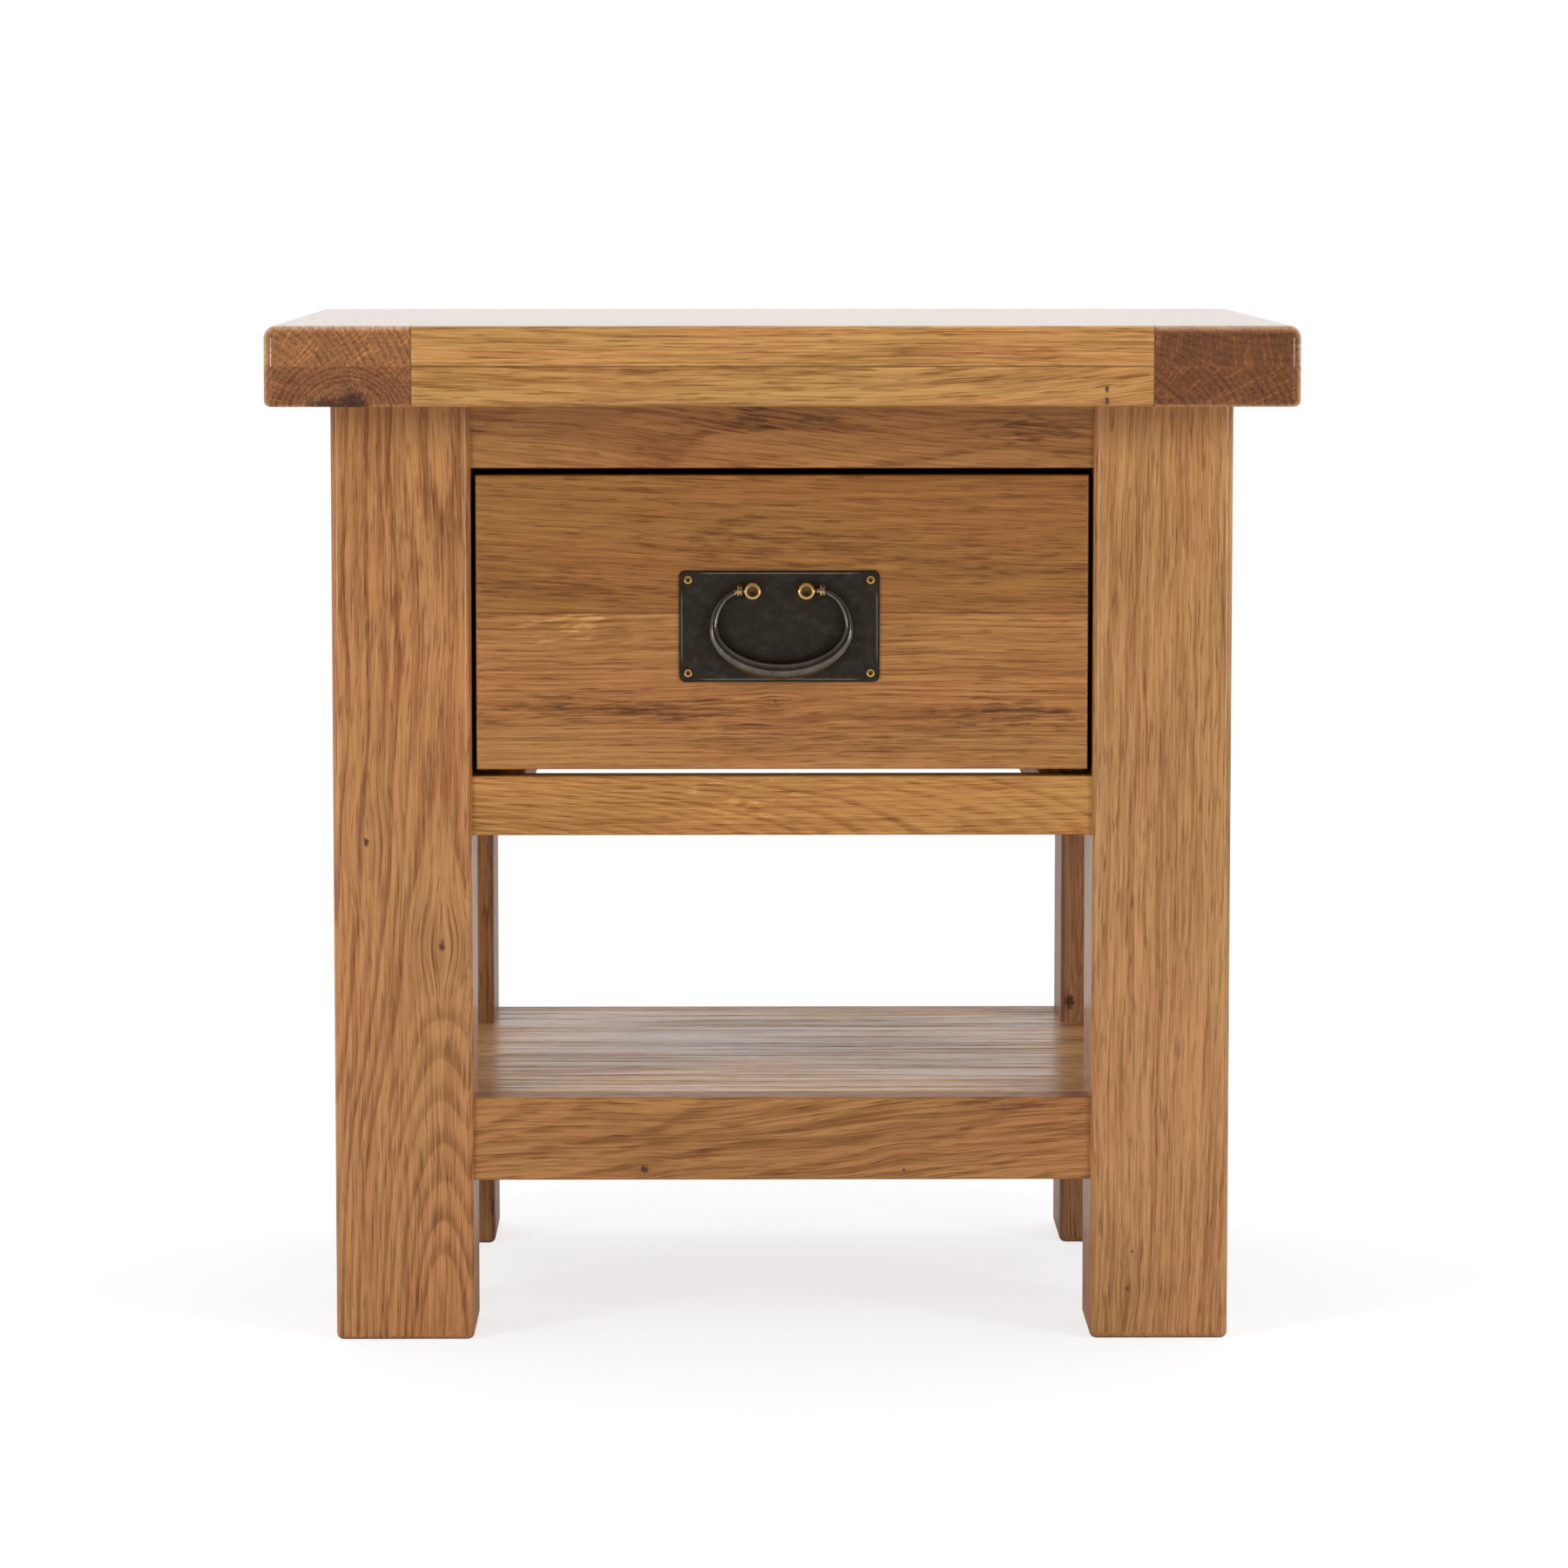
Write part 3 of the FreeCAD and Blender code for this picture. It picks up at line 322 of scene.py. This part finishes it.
# For each way that grain can run: its direction, and the turn that lays a log along it.
GRAIN = {"x": (Vector((1, 0, 0)), Euler((0, math.radians(90), 0))),
         "y": (Vector((0, 1, 0)), Euler((math.radians(-90), 0, 0))),
         "z": (Vector((0, 0, 1)), Euler((0, 0, 0)))}
SEAM_DARK = (0.045, 0.020, 0.010, 1)
KNOT_DARK = (0.060, 0.020, 0.010, 1)
NO_SEAM = (0, 0, 0)
luck = random.Random(11)


def paint(red, green, blue):
    """A colour by its usual 0 to 255 numbers, for the shader."""
    return (*(((part / 255 + 0.055) / 1.055) ** 2.4 for part in (red, green, blue)), 1)


def new_material(name):
    material = bpy.data.materials.new(name)
    material.use_nodes = True
    tree = material.node_tree
    tree.nodes.clear()
    graph = Graph(tree)
    shader = tree.nodes.new("ShaderNodeBsdfPrincipled")
    out = tree.nodes.new("ShaderNodeOutputMaterial")
    tree.links.new(shader.outputs[0], out.inputs["Surface"])
    return material, graph, shader


def dress(node, material):
    """Gives a CAD node its material."""
    mesh = nodes[node].data
    mesh.materials.clear()
    mesh.materials.append(material)


def patch(g, point, centre, reach):
    return place_group(g, PATCH, Point=point, Centre=Vector(centre) * MM, Reach=Vector(reach) * MM)["Share"]


def lay_log(grain, slope):
    """The direction of a board's grain, and the turn of a log that lies along it."""
    axis, turn = GRAIN[grain]
    lean = Euler((0, math.radians(slope), 0)).to_matrix()
    return axis, (turn.to_matrix() @ lean).to_euler()


def log_heart(low, high, grain, pith):
    """Where the log's heart passes the board's middle."""
    heart = (low + high) / 2
    across = [i for i in range(3) if "xyz"[i] != grain]
    for i, away in zip(across, pith):
        heart[i] += away * MM
    return heart


def to_log(g, vector, heart, turn):
    """The vector as the log has it: from its heart, with Z along its trunk."""
    mapping = g.tree.nodes.new("ShaderNodeMapping")
    mapping.vector_type = "TEXTURE"
    for name, value in (("Vector", vector), ("Location", heart), ("Rotation", turn)):
        g.feed(mapping.inputs[name], value)
    return mapping.outputs[0]


def oak(node, grain, pith, shade, end=(96, 62, 38), contrast=1.0, rings=1.0, ring_gap=3.5, wander=10,
        ripple=4, pores=1.0, slope=0.0, taper=0.0, taper_end=9000, seams=(NO_SEAM, NO_SEAM),
        knots=(), stains_and_shade=(), flecks=(), gloss=0.2, coat_rough=0.24, worn=0.0):
    """Lacquered oak for one board. All lengths are in millimetres.

    pith: how far the log's heart lies from the board's middle, along the two directions across its grain.
    ring_gap, wander, ripple: width of a year's ring, and how far the rings stray broadly and finely.
    slope: how the grain leans in the front face, in degrees.
    taper: how fast the heart sinks away from that face along the board, up to taper_end from its middle.
    seams: which of the low and which of the high sides along X, Y and Z are glued to a neighbour.
    knots: (centre, reach, heart, push). Darker patches: (centre, reach, strength), most of them marks in
    the wood, one on a leg painted shade. flecks: (centre, reach).
    worn: how much of the gloss is lost in streaks along the grain.
    """
    material, g, shader = new_material(node)
    low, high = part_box(node)
    place = g.tree.nodes.new("ShaderNodeTexCoord")
    point = place.outputs["Object"]
    flowing, dark, stain_and_shade, fleck = point, 0.0, 0.0, 0.0
    for centre, reach, core, push in knots:
        knot = place_group(g, KNOT, Point=flowing, Centre=Vector(centre) * MM, Reach=Vector(reach) * MM,
                           Heart=Vector(core) * MM, Push=push)
        flowing = knot["Point"]
        dark = g.math("MAXIMUM", dark, knot["Dark"])
        stain_and_shade = g.total(stain_and_shade, g.math("MULTIPLY", knot["Halo"], 0.35))
    for centre, reach, strength in stains_and_shade:
        stain_and_shade = g.total(stain_and_shade, g.math("MULTIPLY", patch(g, point, centre, reach), strength))
    for centre, reach in flecks:
        fleck = g.math("MAXIMUM", fleck, patch(g, point, centre, reach))
    axis, turn = lay_log(grain, slope)
    board = to_log(g, flowing, log_heart(low, high, grain, pith), turn)
    facing = to_log(g, place.outputs["Normal"], (0, 0, 0), turn)
    ends = g.math("ABSOLUTE", g.vector("DOT_PRODUCT", place.outputs["Normal"], axis))
    ends = g.span(ends, 0.55, 0.95, smooth=True)
    # each board comes from its own stretch of trunk
    wood = place_group(g, OAK, Board=board, Face=facing, End=ends, Ring_gap=ring_gap * MM, Taper=taper,
                       Taper_end=taper_end * MM, Trunk=luck.uniform(-40, 40), Wander=wander * MM,
                       Ripple=ripple * MM, Shade=paint(*shade), End_shade=paint(*end), Contrast=contrast,
                       Rings=rings, Flecks=fleck, Pores=pores, Stain=stain_and_shade)
    edge = place_group(g, EDGES, Point=point, Low=low, High=high, Seams_low=seams[0],
                       Seams_high=seams[1])
    # painted highlight: the arrises are made lighter, partly for wear and partly for the light they catch
    colour = g.tint(g.math("MULTIPLY", edge["Worn_and_highlight"], 0.45), wood["Color"], (1.30, 1.30, 1.26))
    colour = g.mix(g.math("MULTIPLY", edge["Seam"], 0.8), colour, SEAM_DARK)
    colour = g.mix(g.math("MULTIPLY", dark, 0.92), colour, KNOT_DARK)
    bump = g.add("ShaderNodeBump", Strength=0.35, Distance=0.0004, Height=wood["Height"])
    g.feed(shader.inputs["Base Color"], colour)
    g.feed(shader.inputs["Roughness"], wood["Roughness"])
    g.feed(shader.inputs["Normal"], bump.outputs[0])
    shader.inputs["Specular IOR Level"].default_value = 0.3
    shader.inputs["Coat Weight"].default_value = gloss
    shader.inputs["Coat Roughness"].default_value = coat_rough
    if worn:
        streak = g.stretched(board, 150, 5, detail=4, roughness=0.65)
        left = g.span(streak, 0.38, 0.62, gloss * (1 - worn), gloss, smooth=True)
        g.feed(shader.inputs["Coat Weight"], left)
    dress(node, material)


def dress_top():
    polish = {"gloss": 1.0, "coat_rough": 0.14}
    inner = {"left": ((0, 0, 0), (1, 0, 0)), "right": ((1, 0, 0), (0, 0, 0))}
    ends_of_strip = ((1, 0, 0), (1, 0, 1))
    shades = ((181, 131, 70), (186, 134, 82), (198, 146, 90), (180, 128, 80), (196, 142, 88))
    for number, shade in enumerate(shades, start=1):
        pith = (luck.uniform(-30, 30), luck.choice((-1, 1)) * luck.uniform(35, 90))
        oak(f"top_stave_{number}", "x", pith, shade, slope=0.6, taper=luck.uniform(-0.04, 0.04), wander=8,
            seams=((1, 0, 1), (1, 0, 0)), contrast=1.1, rings=0.6, **polish)
    oak("top_end_board_left", "y", (-62, -58), (186, 132, 82), end=(144, 93, 50), seams=inner["left"],
        ring_gap=3.2, **polish)
    oak("top_end_board_right", "y", (10, 110), (180, 126, 80), end=(106, 61, 25), seams=inner["right"],
        ring_gap=3.6, rings=0.4, **polish)
    oak("top_under_strip_left", "y", (8, -17), (176, 122, 76), end=(124, 77, 43), seams=inner["left"],
        ring_gap=3.0, knots=(((-207, -200, 463), (16, 30, 12), (8.5, 9, 6.5), 0.5),
                             ((-217, -200, 461), (16, 30, 8), (12, 9, 4.5), 0.3)))
    oak("top_under_strip_right", "y", (-75, -40), (176, 122, 76), end=(109, 65, 31), seams=inner["right"],
        ring_gap=3.4)
    pins = (((156.2, -200, 469.6), (3, 3, 3), (1.1, 2, 1.9), 0.3),
            ((156.2, -200, 463.9), (3, 3, 3), (1.1, 2, 2.4), 0.3))
    oak("top_under_strip_front", "x", (55, -26), (174, 126, 68), seams=ends_of_strip, wander=14, ripple=6,
        slope=-1.2, taper=-0.03, rings=0.7, knots=pins,
        stains_and_shade=(((-60, -200, 479), (130, 30, 2.4), 0.7), ((-70, -200, 463), (60, 30, 2.5), 0.6),
                ((120, -200, 474), (60, 30, 3), 0.4)))
    oak("top_under_strip_rear", "x", (-50, 20), (186, 134, 82), seams=ends_of_strip)


def dress_legs():
    oak("leg_front_left", "z", (22, 15), (170, 115, 63), taper=0.158, taper_end=-30, ring_gap=3.5,
        wander=6, ripple=6, rings=1.5, gloss=0.4, coat_rough=0.2,
        knots=(((-203.6, -170, 247.4), (9, 20, 22), (1.2, 4, 2.6), 0.6),
               ((-166.7, -170, 195.8), (15, 20, 26), (1.6, 4, 3.0), 0.8)),
        # painted shade: the broad darker patch at the top of this leg stands for the shade under the top's
        # overhang, and gives the wood a redder tone too
        stains_and_shade=(((-182, -170, 390), (60, 60, 110), 0.35),))
    oak("leg_front_right", "z", (-62, 60), (171, 121, 69), slope=1.5, taper=-0.02, ring_gap=3.0,
        wander=10, ripple=5, rings=0.55, gloss=0.4, coat_rough=0.2,
        knots=(((170.6, -170, 25.1), (7, 20, 12), (0.9, 4, 1.4), 0.5),
               ((172.7, -170, 42.9), (6, 20, 10), (0.6, 4, 1.0), 0.4)))
    oak("leg_rear_left", "z", (50, 62), (161, 114, 69), wander=8, rings=0.6)
    oak("leg_rear_right", "z", (-44, 70), (162, 117, 79), wander=9, rings=0.6,
        knots=(((157, 102, 131), (9, 20, 14), (2.6, 8, 4.5), 0.7),))


def dress_rails():
    oak("drawer_top_rail", "x", (48, -24), (156, 105, 54), slope=5, taper=-0.05, wander=14, ripple=8,
        rings=0.8,
        stains_and_shade=(((-12, -166, 454), (46, 30, 7), 1.2), ((122, -166, 450), (34, 30, 7), 1.3)))
    oak("drawer_low_rail", "x", (27, -20), (172, 120, 60), taper=0.176, ring_gap=2.6, wander=6, ripple=4,
        rings=1.0, contrast=0.95, flecks=(((-20, -166, 268), (26, 30, 11)),))
    oak("shelf_rail_front", "x", (40, 26), (158, 107, 56), slope=-5, taper=0.07, wander=16, ripple=9,
        rings=0.8, contrast=1.15,
        knots=(((-67.9, -166, 84.2), (10, 20, 7), (2.4, 4, 2.0), 0.6),
               ((60, -166, 84), (12, 20, 10), (0.8, 4, 0.8), 0.5)),
        stains_and_shade=(((110, -166, 117), (30, 30, 5), 0.8),))
    oak("shelf_rail_rear", "x", (-40, -20), (160, 110, 68))
    oak("rear_panel", "x", (-60, 40), (160, 110, 68), wander=18)
    for side in ("left", "right"):
        pith = (luck.choice((-60, 60)), luck.uniform(-50, 50))
        oak(f"side_panel_{side}", "y", pith, (166, 116, 72), wander=18)
        oak(f"shelf_rail_{side}", "y", (luck.uniform(-60, 60), 40), (150, 102, 64))


def dress_shelf():
    dark = (((25, 12, 130), (190, 7, 30), 1.0), ((50, 95, 130), (150, 30, 30), 0.6),
            ((-60, -60, 130), (120, 6, 30), 0.6))
    shades = ((200, 156, 98), (186, 142, 88), (190, 146, 92), (180, 136, 84))
    for number, shade in enumerate(shades, start=1):
        oak(f"shelf_board_{number}", "x", (luck.uniform(-40, 40), luck.uniform(30, 70)), shade,
            contrast=3.2, gloss=0.68, coat_rough=0.2, worn=1.0, stains_and_shade=dark)


def dress_drawer():
    oak("drawer_front_high", "x", (70, -40), (147, 97, 43), slope=1.6, taper=-0.02, wander=8, ripple=4,
        rings=0.5, contrast=0.9, seams=((0, 0, 1), (0, 0, 0)),
        stains_and_shade=(((-14, -166, 392), (62, 30, 15), 0.75), ((-110, -166, 372), (60, 30, 10), 0.5),
                ((100, -166, 388), (60, 30, 14), 0.45)))
    oak("drawer_front_low", "x", (8, -110), (161, 108, 55), slope=-0.8, wander=8, ripple=5, rings=0.5,
        contrast=1.05, seams=((0, 0, 0), (0, 0, 1)), flecks=(((-100, -166, 352), (32, 30, 9)),),
        knots=(((-3.4, -166, 315.9), (8, 20, 5), (0.9, 4, 0.7), 0.5),),
        stains_and_shade=(((-78, -166, 312), (88, 30, 8), 1.3), ((112, -166, 310), (42, 30, 8), 1.2),
                ((10, -166, 300), (80, 30, 12), 0.6)))


INSIDE = (196, 154, 106)


def dress_inside():
    """Bare sanded oak, where no lacquer goes."""
    for name in nodes:
        if name.startswith(("drawer_side", "drawer_runner", "drawer_guide", "drawer_kicker")) \
                or name in ("shelf_cleat_left", "shelf_cleat_right"):
            grain = "y"
        elif name in ("drawer_back", "shelf_cleat_front", "shelf_cleat_rear", "drawer_base"):
            grain = "x"
        elif name.startswith("drawer_stop"):
            grain = "z"
        else:
            continue
        shade = tuple(part + luck.uniform(-8, 8) for part in INSIDE)
        oak(name, grain, (luck.uniform(-50, 50), luck.uniform(30, 80)), shade, end=(160, 116, 76),
            gloss=0.0)


# ---------------------------------------------------------------- materials of metal

def metal(name, shiny, tarnish, rough, age, metallic=1.0, gloss=0.0):
    """Aged metal. Returns what is needed to rub it bright in places."""
    material, g, shader = new_material(name)
    point = g.tree.nodes.new("ShaderNodeTexCoord").outputs["Object"]
    aged = place_group(g, PATINA, Point=point, Metal=paint(*shiny), Tarnish=paint(*tarnish), Age=age,
                       Rough=rough)
    g.feed(shader.inputs["Base Color"], aged["Color"])
    g.feed(shader.inputs["Roughness"], aged["Roughness"])
    shader.inputs["Metallic"].default_value = metallic
    shader.inputs["Coat Weight"].default_value = gloss
    shader.inputs["Coat Roughness"].default_value = 0.1
    bump = g.add("ShaderNodeBump", Strength=0.25, Distance=0.0001, Height=aged["Height"])
    g.feed(shader.inputs["Normal"], bump.outputs[0])
    rubbed = aged["Color"].node.inputs["Rubbed"]
    return material, g, point, rubbed


def dress_plate():
    """Blackened iron, with a bright stripe where its bevel meets the face: partly rubbed wear, partly a
    painted highlight.
    """
    material, g, point, rubbed = metal("black_iron", (112, 116, 110), (52, 45, 36), 0.42, 0.98, 0.85)
    line_in, line_wide, corner_gap = 1.3 * MM, 0.5 * MM, 9 * MM
    inside = g.vector("MINIMUM", g.vector("SUBTRACT", point, plate_low),
                      g.vector("SUBTRACT", plate_high, point))
    x, _, z = g.split(inside)
    nearest = g.math("MINIMUM", x, z)
    other = g.math("MAXIMUM", x, z)
    off_line = g.math("ABSOLUTE", g.math("SUBTRACT", nearest, line_in))
    rub_and_highlight_line = g.math("MULTIPLY", g.span(off_line, 0, line_wide, 1, 0, smooth=True),
                  g.span(other, corner_gap, corner_gap * 1.6))
    # painted highlight: the bright stripe along the bevel's inner edge stands partly for rubbed wear,
    # partly for the light that edge catches
    g.feed(rubbed, rub_and_highlight_line)
    dress("handle_plate", material)


def dress_bail():
    """Burnished steel, with a brassy look on the two collar rings at each end."""
    steel, brass = (160, 150, 134), (204, 164, 108)
    ring_in, ring_out, ring_reach, soft = 18.6 * MM, 21.8 * MM, 4.5 * MM, 0.1 * MM
    post_reach = 4.2 * MM
    material, g, point, rubbed = metal("burnished_steel", steel, (62, 55, 46), 0.05, 0.82, gloss=0.7)
    pivot = (plate_low.x + plate_high.x) / 2, 0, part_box("handle_post_left")[1].z - post_reach
    x, _, z = g.split(g.vector("ABSOLUTE", g.vector("SUBTRACT", point, pivot)))
    ring = g.math("MULTIPLY", g.math("MULTIPLY", g.span(x, ring_in - soft, ring_in),
                                     g.span(x, ring_out, ring_out + soft, 1, 0)),
                  g.span(z, ring_reach, ring_reach + soft, 1, 0))
    g.feed(rubbed.node.inputs["Metal"], g.mix(ring, paint(*steel), paint(*brass)))
    g.feed(rubbed, g.math("MULTIPLY", ring, 0.6))
    dress("handle_bail", material)


def dress_brass():
    """Antiqued brass: bright on the rims, brown in the dished middles."""
    screw_reach = 2.3 * MM
    rims = {"handle_post_left": 2.75 * MM, "handle_post_right": 2.75 * MM, "handle_plate_screws": 1.15 * MM}
    bright, brown = (212, 174, 110), (98, 70, 40)
    for node, rim in rims.items():
        material, g, point, rubbed = metal(f"antique_brass_{node}", bright, brown, 0.12, 0.64)
        low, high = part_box(node)
        centre = (low + high) / 2
        from_middle = g.vector("ABSOLUTE", g.vector("SUBTRACT", point, centre))
        x, _, z = g.split(from_middle)
        if node == "handle_plate_screws":
            x = g.math("SUBTRACT", x, (high.x - low.x) / 2 - screw_reach)
            z = g.math("SUBTRACT", z, (high.z - low.z) / 2 - screw_reach)
        far = g.math("SQRT", g.total(g.math("MULTIPLY", x, x), g.math("MULTIPLY", z, z)))
        g.feed(rubbed, g.span(far, rim - 0.4 * MM, rim + 0.3 * MM, -0.5, 0.75, smooth=True))
        dress(node, material)


def dress_steel():
    material = metal("zinc_steel", (196, 196, 190), (120, 118, 112), 0.34, 0.4)[0]
    for name in ("top_fixing_screws", "shelf_screws", "drawer_base_screws", "handle_post_washers",
                 "handle_post_nuts"):
        dress(name, material)


dress_top()
dress_legs()
dress_rails()
dress_shelf()
dress_drawer()
dress_inside()
dress_plate()
dress_bail()
dress_brass()
dress_steel()

# ---------------------------------------------------------------- studio

FLOOR_WIDE = 14
EYE_BACK, EYE_HIGH, EYE_ASIDE = 2.936, 0.5684, -0.027   # from the front of the legs, metres
EYE_DOWN, EYE_ROLL = 0.09938, -0.00949                  # radians


def make_floor():
    """A white floor. Seen directly it is lit up, so that only a faint shadow stays on it."""
    bpy.ops.object.select_all(action="DESELECT")
    bpy.ops.mesh.primitive_plane_add(size=FLOOR_WIDE, location=(0, 0, 0))
    floor = bpy.context.object
    floor.name = "floor"
    material, g, shader = new_material("white_floor")
    shader.inputs["Roughness"].default_value = 0.9
    shader.inputs["Emission Color"].default_value = (1, 1, 1, 1)
    direct = g.tree.nodes.new("ShaderNodeLightPath").outputs["Is Camera Ray"]
    g.feed(shader.inputs["Base Color"], g.mix(direct, (0.86, 0.86, 0.86, 1), (0.290, 0.300, 0.311, 1)))
    g.feed(shader.inputs["Emission Strength"], g.math("MULTIPLY", direct, 0.74))
    floor.data.materials.append(material)


def make_world():
    """White behind the table, dimmer on the side that the front faces."""
    world = bpy.data.worlds.new("studio")
    bpy.context.scene.world = world
    world.use_nodes = True
    g = Graph(world.node_tree)
    back = world.node_tree.nodes["Background"]
    towards = g.tree.nodes.new("ShaderNodeTexCoord").outputs["Generated"]
    _, y, z = g.split(towards)
    shine = g.total(g.span(y, -0.8, 0.7, 0.14, 0.96, smooth=True),
                    g.span(z, 0.2, 0.9, 0.0, 0.25, smooth=True))
    direct = g.tree.nodes.new("ShaderNodeLightPath").outputs["Is Camera Ray"]
    g.feed(back.inputs["Color"], (1, 1, 1, 1))
    g.feed(back.inputs["Strength"], g.math("MAXIMUM", shine, direct))


def make_softbox(name, place, aim, size, power, lights=True, mirrored=True):
    """A flat lamp. It may light surfaces, be mirrored by the shiny ones, or both."""
    light = bpy.data.lights.new(name, "AREA")
    light.shape = "RECTANGLE"
    light.size, light.size_y = size
    light.energy = power
    lamp = bpy.data.objects.new(name, light)
    bpy.context.scene.collection.objects.link(lamp)
    lamp.visible_camera = False
    lamp.visible_diffuse = lights
    lamp.visible_glossy = mirrored
    lamp.location = place
    lamp.rotation_euler = (Vector(aim) - Vector(place)).to_track_quat("-Z", "Y").to_euler()


def make_lamps():
    """Two tall lamps light the front. Shiny surfaces mirror only a thin strip in the middle of each."""
    middle, handle = (0, 0, 0.28), (0, leg_front, 0.38)
    left, right = (-1.9, -2.0, 1.35), (2.0, -1.9, 1.25)
    make_softbox("key", left, middle, (0.5, 1.4), 22.5, mirrored=False)
    make_softbox("fill", right, middle, (0.5, 1.4), 20, mirrored=False)
    make_softbox("key_edge", left, middle, (0.10, 1.2), 7.5)
    make_softbox("fill_edge", right, middle, (0.10, 1.2), 7.5)
    # low down, so that the handle glints and the top doesn't mirror them
    for side, name in ((-1, "glint_left"), (1, "glint_right")):
        make_softbox(name, (side * 1.7, -2.3, 0.24), handle, (0.45, 0.48), 8, lights=False)


def make_camera():
    camera = bpy.data.cameras.new("camera")
    camera.sensor_width = 36
    camera.lens = 138.4
    camera.clip_end = 100
    eye = bpy.data.objects.new("camera", camera)
    bpy.context.scene.collection.objects.link(eye)
    eye.location = (EYE_ASIDE, leg_front - EYE_BACK, EYE_HIGH)
    eye.rotation_euler = (math.pi / 2 - EYE_DOWN, 0, EYE_ROLL)
    bpy.context.scene.camera = eye


make_floor()
make_world()
make_lamps()
make_camera()
bpy.context.scene.view_settings.view_transform = "Standard"
bpy.context.scene.view_settings.look = "None"
